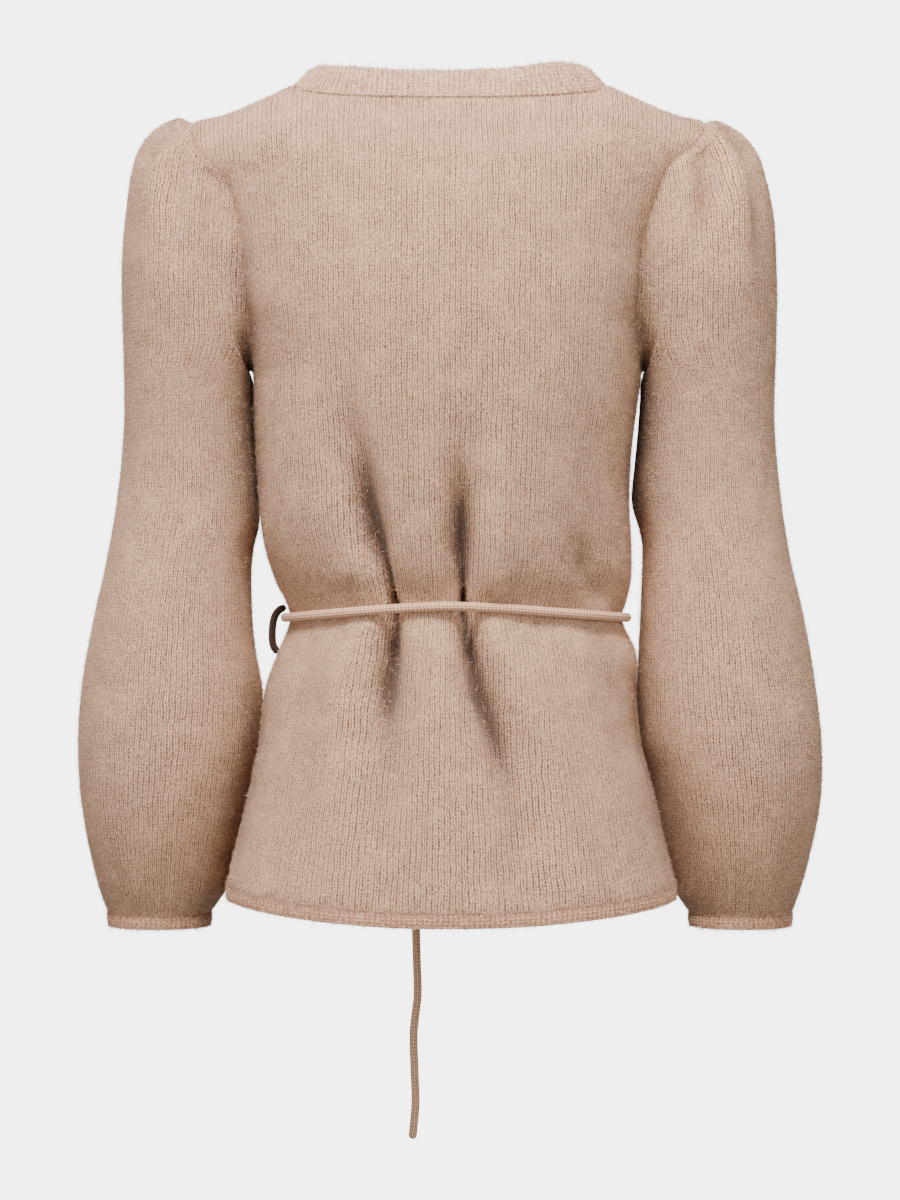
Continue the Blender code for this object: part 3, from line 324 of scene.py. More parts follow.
BACK_FOLDS = (
    fold("left pinch above the tie", (
        (0.082, -0.205, -0.001, 0.016), (0.0715, -0.235, -0.004, 0.014),
        (0.0648, -0.265, -0.0085, 0.013), (0.0612, -0.3, -0.016, 0.012), (0.0545, -0.327, -0.019, 0.01),
        (0.046, -0.352, -0.0175, 0.005), (0.04, -0.372, -0.015, 0.003),
    )),
    fold("left pinch below the tie", (
        (0.04, -0.372, -0.015, 0.003), (0.0402, -0.383, -0.018, 0.005), (0.0425, -0.4, -0.019, 0.009),
        (0.045, -0.425, -0.0175, 0.012), (0.046, -0.455, -0.0085, 0.014), (0.04, -0.515, -0.003, 0.018),
        (0.033, -0.575, -0.002, 0.02),
    )),
    fold("right pinch above the tie", (
        (-0.006, -0.24, -0.001, 0.015), (-0.008, -0.27, -0.0045, 0.012),
        (-0.0085, -0.305, -0.014, 0.01), (-0.008, -0.335, -0.0185, 0.009),
        (-0.0097, -0.372, -0.015, 0.003),
    )),
    fold("right pinch below the tie", (
        (-0.0097, -0.372, -0.015, 0.003), (-0.0115, -0.383, -0.018, 0.005),
        (-0.0145, -0.4, -0.0185, 0.008), (-0.02, -0.43, -0.018, 0.01), (-0.0282, -0.45, -0.0155, 0.011),
        (-0.0357, -0.471, -0.0115, 0.012), (-0.042, -0.498, -0.0075, 0.012),
        (-0.052, -0.575, -0.003, 0.018),
    )),
    fold("left valley above the tie", (
        (0.08, -0.22, -0.001, 0.028), (0.072, -0.285, -0.0055, 0.024), (0.06, -0.335, -0.0065, 0.019),
        (0.046, -0.372, -0.003, 0.01),
    )),
    fold("right valley above the tie", (
        (-0.004, -0.23, -0.001, 0.024), (-0.006, -0.3, -0.005, 0.022), (-0.008, -0.345, -0.0055, 0.016),
        (-0.01, -0.372, -0.003, 0.01),
    )),
    fold("left valley below the tie", (
        (0.043, -0.388, -0.003, 0.01), (0.048, -0.43, -0.0065, 0.018), (0.046, -0.49, -0.0055, 0.025),
        (0.042, -0.57, -0.0025, 0.028),
    )),
    fold("right valley below the tie", (
        (-0.013, -0.388, -0.003, 0.01), (-0.025, -0.43, -0.006, 0.017), (-0.042, -0.49, -0.006, 0.024),
        (-0.054, -0.57, -0.003, 0.028),
    )),
    fold("right side valley", (
        (-0.085, -0.21, -0.001, 0.026), (-0.095, -0.27, -0.004, 0.024), (-0.1, -0.33, -0.006, 0.022),
        (-0.101, -0.36, -0.003, 0.014),
    )),
    fold("left side valley", (
        (0.1, -0.405, -0.002, 0.012), (0.108, -0.445, -0.005, 0.018), (0.108, -0.52, -0.0035, 0.024),
        (0.108, -0.57, -0.0015, 0.026),
    )),
    fold("left ridge above the tie", (
        (0.09, -0.26, 0.001, 0.02), (0.079, -0.31, 0.003, 0.016), (0.066, -0.345, 0.0045, 0.013),
        (0.057, -0.362, 0.003, 0.01),
    )),
    fold("left ridge below the tie", (
        (0.06, -0.39, 0.003, 0.012), (0.068, -0.43, 0.0055, 0.018), (0.074, -0.48, 0.0045, 0.022),
        (0.08, -0.56, 0.002, 0.026),
    )),
    fold("middle ridge below the tie", (
        (0.015, -0.395, 0.002, 0.014), (0.012, -0.435, 0.004, 0.018), (0.004, -0.5, 0.003, 0.022),
        (-0.004, -0.57, 0.0015, 0.024),
    )),
    fold("right ridge below the tie", (
        (-0.033, -0.39, 0.003, 0.012), (-0.048, -0.425, 0.0055, 0.017), (-0.064, -0.475, 0.005, 0.021),
        (-0.08, -0.56, 0.0025, 0.026),
    )),
    fold("right ridge above the tie", (
        (-0.026, -0.28, 0.001, 0.016), (-0.029, -0.325, 0.0035, 0.014), (-0.031, -0.356, 0.004, 0.011),
    )),
    fold("right hollow over the tie", (
        (-0.084, -0.325, -0.001, 0.012), (-0.096, -0.346, -0.0055, 0.011),
        (-0.106, -0.362, -0.006, 0.009),
    )),
    fold("right side flute", (
        (-0.104, -0.395, -0.002, 0.01), (-0.118, -0.435, -0.005, 0.012), (-0.128, -0.47, -0.003, 0.014),
    )),
)
FRONT_FOLDS = (
    fold("left pinch", (
        (0.07, -0.25, -0.001, 0.016), (0.062, -0.3, -0.005, 0.013), (0.056, -0.345, -0.009, 0.01),
        (0.054, -0.379, -0.01, 0.009), (0.056, -0.41, -0.0095, 0.01), (0.062, -0.46, -0.006, 0.014),
        (0.068, -0.55, -0.002, 0.019),
    )),
    fold("right pinch", (
        (-0.064, -0.26, -0.001, 0.016), (-0.06, -0.31, -0.006, 0.012), (-0.057, -0.355, -0.0095, 0.01),
        (-0.056, -0.379, -0.0105, 0.009), (-0.058, -0.41, -0.01, 0.01), (-0.064, -0.47, -0.006, 0.014),
        (-0.07, -0.56, -0.002, 0.019),
    )),
    fold("left ridge", (
        (0.082, -0.39, 0.002, 0.012), (0.092, -0.44, 0.0045, 0.018), (0.098, -0.54, 0.002, 0.024),
    )),
    fold("right ridge", (
        (-0.08, -0.395, 0.002, 0.012), (-0.093, -0.45, 0.0045, 0.017), (-0.1, -0.55, 0.002, 0.023),
    )),
    fold("wrap ridge", (
        (-0.015, -0.395, 0.002, 0.014), (-0.018, -0.45, 0.0035, 0.018), (-0.022, -0.55, 0.0015, 0.022),
    )),
)
SLEEVE_BACK_FOLDS = {
    Side.LEFT: (
        fold("head ridge", (
            (0.186, -0.041, 0.001, 0.006), (0.199, -0.053, 0.0045, 0.007),
            (0.207, -0.068, 0.0055, 0.008), (0.209, -0.086, 0.0045, 0.009),
            (0.211, -0.12, 0.002, 0.011), (0.213, -0.17, 0.0005, 0.014),
        )),
        fold("outer valley", (
            (0.196, -0.042, -0.003, 0.006), (0.21, -0.056, -0.0045, 0.007),
            (0.218, -0.078, -0.003, 0.009), (0.221, -0.11, -0.001, 0.011),
        )),
        fold("middle hollow", (
            (0.188, -0.052, -0.002, 0.005), (0.189, -0.068, -0.004, 0.008),
            (0.19, -0.09, -0.002, 0.009), (0.188, -0.12, -0.0005, 0.01),
        )),
        fold("small ridge", (
            (0.18, -0.054, 0.002, 0.005), (0.18, -0.068, 0.004, 0.006), (0.178, -0.086, 0.0035, 0.008),
            (0.177, -0.115, 0.001, 0.011),
        )),
        fold("seam valley", (
            (0.172, -0.059, -0.004, 0.005), (0.17, -0.074, -0.007, 0.006),
            (0.1675, -0.09, -0.006, 0.007), (0.164, -0.115, -0.0035, 0.009),
            (0.157, -0.15, -0.002, 0.011),
        )),
    ),
    Side.RIGHT: (
        fold("head ridge", (
            (-0.185, -0.036, 0.001, 0.006), (-0.196, -0.05, 0.005, 0.007),
            (-0.202, -0.068, 0.006, 0.008), (-0.205, -0.088, 0.005, 0.009),
            (-0.205, -0.12, 0.0025, 0.011), (-0.207, -0.17, 0.0005, 0.014),
        )),
        fold("outer valley", (
            (-0.192, -0.037, -0.002, 0.006), (-0.205, -0.054, -0.0055, 0.006),
            (-0.213, -0.07, -0.005, 0.007), (-0.215, -0.09, -0.0035, 0.009),
            (-0.218, -0.125, -0.001, 0.012),
        )),
        fold("middle hollow", (
            (-0.186, -0.048, -0.002, 0.004), (-0.19, -0.062, -0.003, 0.005),
            (-0.191, -0.08, -0.001, 0.007),
        )),
        fold("inner valley", (
            (-0.179, -0.05, -0.003, 0.005), (-0.1795, -0.065, -0.0045, 0.006),
            (-0.1785, -0.085, -0.0045, 0.007), (-0.176, -0.108, -0.002, 0.009),
        )),
        fold("seam ridge", (
            (-0.168, -0.059, 0.0015, 0.006), (-0.164, -0.075, 0.003, 0.008),
            (-0.162, -0.1, 0.002, 0.01), (-0.16, -0.14, 0.0005, 0.012),
        )),
    ),
}
SLEEVE_FRONT_FOLDS = (
    fold("head ridge", (
        (0.187, -0.04, 0.001, 0.006), (0.2, -0.056, 0.005, 0.007), (0.207, -0.078, 0.0045, 0.009),
        (0.21, -0.12, 0.0015, 0.012),
    )),
    fold("outer valley", (
        (0.198, -0.042, -0.003, 0.006), (0.212, -0.06, -0.0045, 0.007), (0.219, -0.09, -0.002, 0.01),
    )),
    fold("inner valley", (
        (0.183, -0.052, -0.003, 0.005), (0.185, -0.07, -0.005, 0.007), (0.185, -0.095, -0.0025, 0.009),
        (0.184, -0.125, -0.0005, 0.011),
    )),
    fold("seam ridge", (
        (0.172, -0.06, 0.002, 0.006), (0.17, -0.08, 0.0035, 0.008), (0.168, -0.115, 0.001, 0.011),
    )),
)

LEFT_SLEEVE = table(Ring, (
    (0.1885, -0.0245, 0.1432, -0.204, 0.064, -0.001), (0.199, -0.0262, 0.1458, -0.207, 0.067, -0.002),
    (0.211, -0.0335, 0.1462, -0.214, 0.067, -0.003), (0.2215, -0.046, 0.146, -0.221, 0.066, -0.004),
    (0.229, -0.066, 0.1455, -0.229, 0.064, -0.005), (0.233, -0.093, 0.1448, -0.239, 0.062, -0.006),
    (0.235, -0.133, 0.1435, -0.252, 0.059, -0.008), (0.2342, -0.185, 0.1415, -0.27, 0.057, -0.01),
    (0.2338, -0.24, 0.1398, -0.292, 0.056, -0.012), (0.2385, -0.292, 0.1395, -0.316, 0.059, -0.014),
    (0.246, -0.336, 0.143, -0.344, 0.066, -0.017), (0.256, -0.38, 0.1425, -0.382, 0.073, -0.02),
    (0.2645, -0.425, 0.139, -0.425, 0.078, -0.023), (0.268, -0.472, 0.1415, -0.472, 0.078, -0.025),
    (0.2655, -0.515, 0.1495, -0.515, 0.071, -0.027), (0.2595, -0.55, 0.158, -0.55, 0.06, -0.028),
    (0.2525, -0.578, 0.1665, -0.578, 0.047, -0.029), (0.247, -0.593, 0.173, -0.593, 0.038, -0.029),
))
RIGHT_SLEEVE = table(Ring, (
    (0.1875, -0.0262, 0.1392, -0.204, 0.064, -0.001), (0.1965, -0.0285, 0.1425, -0.207, 0.067, -0.002),
    (0.208, -0.036, 0.1432, -0.214, 0.067, -0.003), (0.2185, -0.048, 0.1432, -0.221, 0.066, -0.004),
    (0.2265, -0.067, 0.1428, -0.229, 0.064, -0.005), (0.232, -0.093, 0.1422, -0.239, 0.062, -0.006),
    (0.2342, -0.133, 0.1412, -0.252, 0.059, -0.008), (0.2338, -0.185, 0.1395, -0.27, 0.057, -0.01),
    (0.2328, -0.24, 0.1375, -0.292, 0.056, -0.012), (0.2372, -0.292, 0.1383, -0.316, 0.059, -0.014),
    (0.2442, -0.336, 0.1385, -0.344, 0.066, -0.017), (0.2545, -0.38, 0.1372, -0.382, 0.073, -0.02),
    (0.2625, -0.425, 0.1358, -0.425, 0.078, -0.023), (0.2678, -0.472, 0.1402, -0.472, 0.078, -0.025),
    (0.2668, -0.515, 0.1503, -0.515, 0.071, -0.027), (0.26, -0.55, 0.16, -0.55, 0.06, -0.028),
    (0.2525, -0.578, 0.1665, -0.578, 0.047, -0.029), (0.247, -0.593, 0.173, -0.593, 0.038, -0.029),
))
SLEEVES = {Side.LEFT: LEFT_SLEEVE, Side.RIGHT: RIGHT_SLEEVE}
HEAD = table(HeadRing, ((0.30, 0.0045), (0.52, 0.0050), (0.70, 0.0035), (0.84, 0.0015), (0.94, 0.0)))
HEAD_LIFT = (0.0024, 0.0009)

# The cords' routes, point by point as in the part's source
TIE_ROUTE = (
    (0.035, -0.0962, -0.3731), (0.051, -0.0891, -0.374), (0.072, -0.0807, -0.3756),
    (0.0919, -0.0671, -0.3772), (0.1061, -0.0475, -0.3787), (0.1151, -0.0244, -0.3797),
    (0.1178, 0.0, -0.38), (0.1143, 0.0244, -0.3797), (0.1024, 0.0459, -0.3787),
    (0.0853, 0.0622, -0.3772), (0.0666, 0.0744, -0.3756), (0.0458, 0.0797, -0.374),
    (0.027, 0.0834, -0.3728), (0.009, 0.0854, -0.3721), (-0.0089, 0.0854, -0.3721),
    (-0.0274, 0.0844, -0.3728), (-0.0467, 0.0814, -0.374), (-0.0671, 0.075, -0.3756),
    (-0.0882, 0.0646, -0.3772), (-0.1076, 0.0483, -0.3787), (-0.1221, 0.0262, -0.3797),
    (-0.1265, 0.0, -0.38), (-0.1233, -0.0263, -0.3797), (-0.1124, -0.0503, -0.3787),
    (-0.0958, -0.0701, -0.3772), (-0.0746, -0.0834, -0.3756), (-0.0525, -0.0913, -0.374),
    (-0.0316, -0.0978, -0.3728), (-0.0104, -0.0999, -0.3721), (0.006, -0.1002, -0.3723),
    (0.016, -0.0991, -0.3728),
)
END_ROUTE = (
    (0.0255, -0.103, -0.3824), (0.0256, -0.1058, -0.395), (0.0257, -0.1102, -0.41),
    (0.0258, -0.114, -0.425), (0.0259, -0.1174, -0.44), (0.0259, -0.1223, -0.47),
    (0.0258, -0.1264, -0.5), (0.0257, -0.1299, -0.53), (0.0256, -0.1329, -0.56),
    (0.0256, -0.1352, -0.59), (0.0256, -0.1364, -0.618), (0.0249, -0.137, -0.6436),
    (0.0244, -0.1373, -0.6647), (0.0262, -0.1375, -0.6813), (0.0275, -0.1377, -0.6972),
    (0.0266, -0.1379, -0.7265), (0.026, -0.138, -0.747), (0.0277, -0.138, -0.7673),
    (0.0285, -0.138, -0.7742),
)
LOOP_ROUTE = (
    (0.117, 0.0, -0.3733), (0.1198, 0.0, -0.3735), (0.1224, 0.0, -0.375),
    (0.1246, 0.0, -0.3778), (0.126, 0.0, -0.3815), (0.1268, 0.0, -0.386),
    (0.1271, 0.0, -0.391), (0.127, 0.0, -0.396), (0.1263, 0.0, -0.4),
    (0.1244, 0.0, -0.4032), (0.1222, 0.0, -0.4048),
)


def between(
    t: np.ndarray, step: np.ndarray, values: np.ndarray, tangents: np.ndarray, i: np.ndarray
) -> np.ndarray:
    """A smooth curve's values between its given ones.

    Args:
        t: The share of the way from the one before to the one after.
        step: The distance between the two.
        values: The given values.
        tangents: The curve's slope at each.
        i: The index of the one before.

    Returns:
        The values there.
    """
    return (
        (1 + 2 * t) * (1 - t) ** 2 * values[i] + t * (1 - t) ** 2 * step * tangents[i]
        + t * t * (3 - 2 * t) * values[i + 1] + t * t * (t - 1) * step * tangents[i + 1]
    )


class SmoothCurve:
    """A curve through one column of a table against its first, flat where the column turns."""

    def __init__(self, rows: Sequence[NamedTuple], column: str) -> None:
        """Takes the rows of a table and the column's name."""
        pairs = sorted((row[0], getattr(row, column)) for row in rows)
        self.x, self.y = np.array(pairs, float).T
        slope = np.diff(self.y) / np.diff(self.x)
        self.tangent = np.concatenate([slope[:1], (slope[:-1] + slope[1:]) / 2, slope[-1:]])
        self.tangent[1:-1][slope[:-1] * slope[1:] <= 0] = 0

    def __call__(self, where: float | np.ndarray) -> float | np.ndarray:
        """The column's value there."""
        where = np.clip(where, self.x[0], self.x[-1])
        i = np.clip(np.searchsorted(self.x, where) - 1, 0, len(self.x) - 2)
        step = self.x[i + 1] - self.x[i]
        t = (where - self.x[i]) / step
        return between(t, step, self.y, self.tangent, i)


def smooth_step(value: float | np.ndarray) -> np.ndarray:
    """0 up to 0, 1 from 1 on, and smooth between."""
    t = np.clip(value, 0, 1)
    return t * t * (3 - 2 * t)


def unit(vectors: np.ndarray) -> np.ndarray:
    """The vectors, each one long."""
    return vectors / np.maximum(np.linalg.norm(vectors, axis=-1, keepdims=True), 1e-12)


def flattened(vectors: np.ndarray, axis: int) -> np.ndarray:
    """The vectors with one axis taken out, each one long."""
    kept = vectors.copy()
    kept[..., axis] = 0
    return unit(kept)


def reached(steps: np.ndarray) -> np.ndarray:
    """The distances reached after each of some steps, from 0 on."""
    return np.concatenate([[0], np.cumsum(steps)])


def lengths_along(line: np.ndarray) -> np.ndarray:
    """The distance along a line of points to each of them."""
    return reached(np.linalg.norm(np.diff(line, axis=0), axis=1))


def row_steps(grid: np.ndarray) -> np.ndarray:
    """The mean distance from each row of a grid of points to the next."""
    return np.linalg.norm(np.diff(grid, axis=0), axis=-1).mean(axis=1)


def runs_along(line: np.ndarray) -> np.ndarray:
    """Unit vectors along a line at each of its points."""
    steps = unit(np.diff(line, axis=0))
    return unit(np.concatenate([steps[:1], steps[:-1] + steps[1:], steps[-1:]]))


def resampled(line: np.ndarray, at: np.ndarray, reach: np.ndarray | None = None) -> np.ndarray:
    """Values of a line read at distances along it.

    Args:
        line: Points or other vectors, one row each.
        at: The distances to read.
        reach: Each row's own distance, or None to measure the line itself.

    Returns:
        One row for each distance.
    """
    reach = lengths_along(line) if reach is None else reach
    return np.stack([np.interp(at, reach, line[:, k]) for k in range(line.shape[1])], axis=1)


def settled(points: np.ndarray, sizes: Sizes) -> np.ndarray:
    """The points with the soft cloth at the shoulder tips standing a little higher."""
    from_tip = (np.abs(points[..., 0]) - sizes.tip_out) / sizes.tip_spread
    below = (points[..., 2] - sizes.shoulder_tip) / sizes.tip_spread
    lifted = points.copy()
    lifted[..., 2] += sizes.tip_lift * np.exp(-(from_tip**2) - below**2)
    return lifted


@dataclass(frozen=True)
class Shade:
    """Shade painted in hollows and grooves, highlight painted on crests: shares, and the sizes that they
    go with.
    """

    broad: float = 0.34
    broad_depth: float = 0.014
    core: float = 0.62
    core_power: float = 1.6
    crest_height: float = 0.010
    side: float = 0.70
    side_reach: float = 0.0070
    sleeve_valley: float = 0.6
    sleeve_depth: float = 0.013
    sleeve_crest: float = 0.9
    sleeve_crest_height: float = 0.012
    sleeve_side: float = 0.85
    groove: float = 0.75
    groove_reach: float = 0.013
    seam: float = 0.45
    above: Window = Window(-0.085, 0.06, -0.320, 0.03)
    below: Window = Window(-0.395, 0.04, -0.575, 0.05)
    below_share: float = 0.8


SHADE = Shade()


@dataclass
class Cloth:
    """A piece's outer surface: rows by columns of points, their normals, their stitches' places and
    painted shading.
    """

    points: np.ndarray
    normals: np.ndarray
    stitches: np.ndarray
    hollow: np.ndarray
    closed: bool = False

    def edge_distance(self) -> np.ndarray:
        """Each point's distance from the nearest edge, roughly, in metres."""
        down = reached(row_steps(self.points))
        near = np.minimum(down, down[-1] - down)[:, None]
        if self.closed:
            return np.broadcast_to(near, self.points.shape[:2])
        across = np.linalg.norm(np.diff(self.points, axis=1), axis=-1)
        along = np.concatenate([np.zeros((len(across), 1)), np.cumsum(across, axis=1)], axis=1)
        return np.minimum(near, np.minimum(along, along[:, -1:] - along))

    def without_last_column(self) -> Cloth:
        """The surface without the column that only guides a band."""
        parts = (self.points, self.normals, self.stitches, self.hollow)
        return Cloth(*(grid[:, :-1] for grid in parts))

    def area(self) -> float:
        """The surface's area in square metres."""
        points = self.points
        if self.closed:
            points = np.concatenate([points, points[:, :1]], axis=1)
        across, down = np.diff(points, axis=1)[:-1], np.diff(points, axis=0)[:, :-1]
        return float(np.linalg.norm(np.cross(across, down), axis=-1).sum())


class BodyForm:
    """The filled-out body of the cardigan, as sections up its height."""

    def __init__(self, sizes: Sizes) -> None:
        """Takes the cardigan's sizes."""
        self.sizes = sizes
        self.half_width = {
            Side.LEFT: SmoothCurve(SECTIONS, "left"), Side.RIGHT: SmoothCurve(SECTIONS, "right")
        }
        self.depth = {face: SmoothCurve(SECTIONS, face.value) for face in Face}
        self.square = SmoothCurve(SECTIONS, "square")
        self.armhole = {face: SmoothCurve(ARMHOLES, face.value) for face in Face}
        self.front_edge = SmoothCurve(FRONT_EDGES, "out")
        self.shoulder = SmoothCurve(SHOULDERS, "height")

    def section_arc(self, height: float, side: Side, face: Face) -> tuple[np.ndarray, np.ndarray]:
        """Shares of the half-width, and the arc length from the panel's middle to each."""
        square = self.square(height)
        angle = np.linspace(0, math.pi / 2, ARC_POINTS)
        share = np.sin(angle) ** (2 / square)
        x = share * self.half_width[side](height)
        y = np.cos(angle) ** (2 / square) * self.depth[face](height)
        return share, reached(np.hypot(np.diff(x), np.diff(y)))

    def arc_to(self, height: float, x: float, face: Face) -> float:
        """The signed arc length from the middle of a section to its point at x."""
        side = Side.LEFT if x >= 0 else Side.RIGHT
        share, arc = self.section_arc(height, side, face)
        return side * float(np.interp(abs(x) / self.half_width[side](height), share, arc))

    def shares_at(self, height: float, arcs: np.ndarray, face: Face) -> np.ndarray:
        """Signed shares of the half-width at signed arc lengths from the middle."""
        found = np.zeros(len(arcs))
        for side in Side:
            share, arc = self.section_arc(height, side, face)
            mine = arcs * side >= 0
            found[mine] = side * np.interp(np.abs(arcs[mine]), arc, share)
        return found

    def top_height(self, x: np.ndarray) -> np.ndarray:
        """The height of a panel's top edge: the back neckline, then the shoulder line."""
        s = self.sizes
        out = np.abs(x)
        dip = np.clip(1 - (out / s.neck_half_width) ** s.neck_curve, 0, 1) ** (1 / s.neck_curve)
        return np.where(out < s.neck_half_width, -s.neck_drop * dip, self.shoulder(out))

    def widths(self, height: float, shares: np.ndarray) -> np.ndarray:
        """The half-width on each share's own side."""
        left, right = (self.half_width[side](height) for side in Side)
        return np.where(shares >= 0, left, right)

    def row(
        self, height: float, shares: np.ndarray, face: Face, top_offset: np.ndarray
    ) -> np.ndarray:
        """A row of a panel's points, before its folds.

        Args:
            height: The row's height at the side edge.
            shares: Signed shares of the half-width.
            face: The back or the front.
            top_offset: How far each column's top lies above the shoulder tip.

        Returns:
            One point for each share.
        """
        s = self.sizes
        square = self.square(height)
        x = shares * self.widths(height, shares)
        round_off = np.clip(1 - np.abs(shares) ** square, 0, 1) ** (1 / square)
        depth = self.depth[face](height) * round_off
        middle = 1 - shares**2
        if height < s.waist:
            down = (s.waist - height) / (s.waist - s.hem_edge)
            lift = middle * (s.waist_rise - (s.waist_rise + s.back_hem_drop) * down)
        else:
            up = (height - s.waist) / (s.shoulder_tip - s.waist)
            climb = max((height - s.underarm) / (s.shoulder_tip - s.underarm), 0)
            lift = middle * s.waist_rise * (1 - up) + top_offset * climb**2 * (2 - climb)
        z = height + lift
        if face is Face.BACK:
            out = np.clip(np.abs(x) / s.neck_half_width, 0, 1)
            top_z = self.top_height(x)
            top_depth = s.neck_depth * (1 - out**s.neck_curve) ** (1 / s.neck_curve)
        else:
            top_z = self.shoulder(np.maximum(np.abs(x), s.neck_half_width))
            top_depth = 0.0
        over = np.clip((z - top_z) / s.shoulder_rounding + 1, 0, 1)
        depth = top_depth + (depth - top_depth) * np.sqrt(1 - over**2)
        return np.stack([x, depth if face is Face.BACK else -depth, z], axis=1)

    def side_edge(self, height: float, side: Side, face: Face) -> float:
        """Where a panel's side edge lies: the side seam, then the armhole with its round bottom."""
        width = side * self.half_width[side](height)
        if height <= self.sizes.underarm:
            return width
        cut = self.armhole[face](height)
        low = ARMHOLES[0].height
        if height < low:
            cut *= math.sqrt(max(1 - ((height - low) / (self.sizes.underarm - low)) ** 2, 0))
        square = self.square(height)
        return width * (1 - (cut / self.depth[face](height)) ** square) ** (1 / square)

    @staticmethod
    def beside_shade(z: np.ndarray) -> np.ndarray:
        """How much shade is painted in the groove between the body and a sleeve, from 0 to 1, at heights.
        """
        return SHADE.above.share(z) + SHADE.below_share * SHADE.below.share(z)

    def side_rows(self) -> np.ndarray:
        """Heights of the rows from the hem's seam to the underarm, evenly spaced."""
        s = self.sizes
        return np.linspace(s.lowest_row, s.underarm, round((s.underarm - s.lowest_row) / s.back_step))

    def armhole_rows(self) -> np.ndarray:
        """Heights of the rows above the underarm, evenly spaced round the armhole."""
        s = self.sizes
        low = ARMHOLES[0].height
        bend = np.linspace(0, math.pi / 2, BEND_POINTS)
        heights = np.concatenate([
            s.underarm + (low - s.underarm) * (1 - np.cos(bend)),
            np.linspace(low, s.shoulder_tip, TOP_POINTS)[1:],
        ])
        edge = []
        for height in heights:
            share = self.side_edge(height, Side.LEFT, Face.BACK) / self.half_width[Side.LEFT](height)
            edge.append(self.row(height, np.array([share]), Face.BACK, np.zeros(1))[0])
        reach = lengths_along(np.array(edge))
        at = np.linspace(0, reach[-1], round(reach[-1] / s.mesh_step))
        return np.interp(at, reach, heights)[1:]


@dataclass
class BodyPanel(ABC):
    """A back or front panel, drawn on the body's form."""

    form: BodyForm
    face: Face
    folds: tuple[Fold, ...]

    @abstractmethod
    def columns(self, height: float) -> np.ndarray:
        """Signed arc lengths of a row's points from the panel's middle."""

    @abstractmethod
    def top_offset(self) -> np.ndarray:
        """How far each column's top lies above the shoulder tip."""

    def rise(self, points: np.ndarray) -> np.ndarray:
        """How far the folds move each point out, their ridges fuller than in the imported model."""
        total = sum(fold.rise_at(points) for fold in self.folds)
        return np.where(total > 0, total * self.form.sizes.ridge_gain, total)

    def layer(self, points: np.ndarray) -> np.ndarray:
        """How far each point is moved in to lie under another panel."""
        return np.zeros(points.shape[:-1])

    def column_tops(self, arcs: np.ndarray) -> np.ndarray:
        """The top edge above the shoulder tip at signed arc lengths of the tip's row."""
        tip = self.form.sizes.shoulder_tip
        shares = self.form.shares_at(tip, arcs, self.face)
        return self.form.top_height(shares * self.form.widths(tip, shares)) - tip

    def cloth(self) -> Cloth:
        """The panel's outer surface with its folds."""
        s = self.form.sizes
        heights = np.concatenate([self.form.side_rows(), self.form.armhole_rows()])
        top = self.top_offset()
        nudges = ((0, 0), (s.probe, 0), (-s.probe, 0), (0, 1), (0, -s.probe))
        grids: list[list[np.ndarray]] = [[] for _ in nudges]
        wales = []
        underarm = self.columns(s.underarm)
        for height in heights:
            arcs = self.columns(height)
            wales.append(underarm if height < s.underarm else arcs)
            up = min(s.probe, s.shoulder_tip - height)
            for grid, (across, raised) in zip(grids, nudges):
                level = height + (up if raised > 0 else raised)
                shares = self.form.shares_at(height, arcs + across, self.face)
                grid.append(self.form.row(level, shares, self.face, top))
        here, right, left, above, below = (np.array(grid) for grid in grids)
        outward = here * (1, 1, 0) + (0, 0, s.top_lead)
        normals = unit(np.cross(right - left, above - below))
        normals *= np.sign((normals * outward).sum(axis=-1, keepdims=True))
        bent = []
        for points in (here, right, left, above, below):
            rise = self.rise(points) - self.layer(points)
            bent.append(points + normals * rise[..., None])
        rise = self.rise(here)
        # Painted shade in the folds' hollows, darkest in their cores, and painted highlight on their
        # crests
        core = np.clip((-rise - s.crease_start) / s.crease_depth, 0, 1)
        hollow = SHADE.broad * np.clip(-rise / SHADE.broad_depth, 0, 1)
        hollow += SHADE.core * core**SHADE.core_power - np.clip(rise / SHADE.crest_height, 0, 1)
        final = unit(np.cross(bent[1] - bent[2], bent[3] - bent[4]))
        final *= np.sign((final * normals).sum(axis=-1, keepdims=True))
        middle = here[:, here.shape[1] // 2]
        courses = np.broadcast_to(lengths_along(middle)[:, None], here.shape[:2])
        return Cloth(bent[0], final, np.stack([np.array(wales), courses], axis=-1), hollow)

    def seam_edge(self, cloth: Cloth, column: int) -> None:
        """Lays a side edge in the side seam's plane."""
        s = self.form.sizes
        rows = len(self.form.side_rows())
        edge = cloth.points[:rows, column]
        edge[:, 1] = s.seam_gap / 2 * (1 if self.face is Face.BACK else -1)
        cloth.normals[:rows, column] = self.across_normals(edge, edge * (1, 0, 0))

    def seam_top(self, cloth: Cloth) -> None:
        """Lays the shoulder edges in the shoulder seams' plane, and the hem's rim level."""
        s = self.form.sizes
        x = cloth.points[-1, :, 0]
        on_shoulder = np.abs(x) > s.neck_half_width - SLIGHT
        cloth.points[-1, on_shoulder, 1] = s.seam_gap / 2 * (1 if self.face is Face.BACK else -1)
        for side in Side:
            mine = on_shoulder & (x * side > 0)
            if mine.any():
                cloth.normals[-1, mine] = self.across_normals(cloth.points[-1, mine], (0, 0, 1))
        cloth.normals[0] = flattened(cloth.normals[0], 2)

    @staticmethod
    def across_normals(edge: np.ndarray, away: np.ndarray | tuple[float, ...]) -> np.ndarray:
        """Normals of an edge in a plane across Y, so that both sides of its seam match."""
        run = runs_along(edge)
        normals = unit(np.stack([run[:, 2], 0 * run[:, 0], -run[:, 0]], axis=1))
        return normals * np.sign((normals * away).sum(axis=1, keepdims=True))


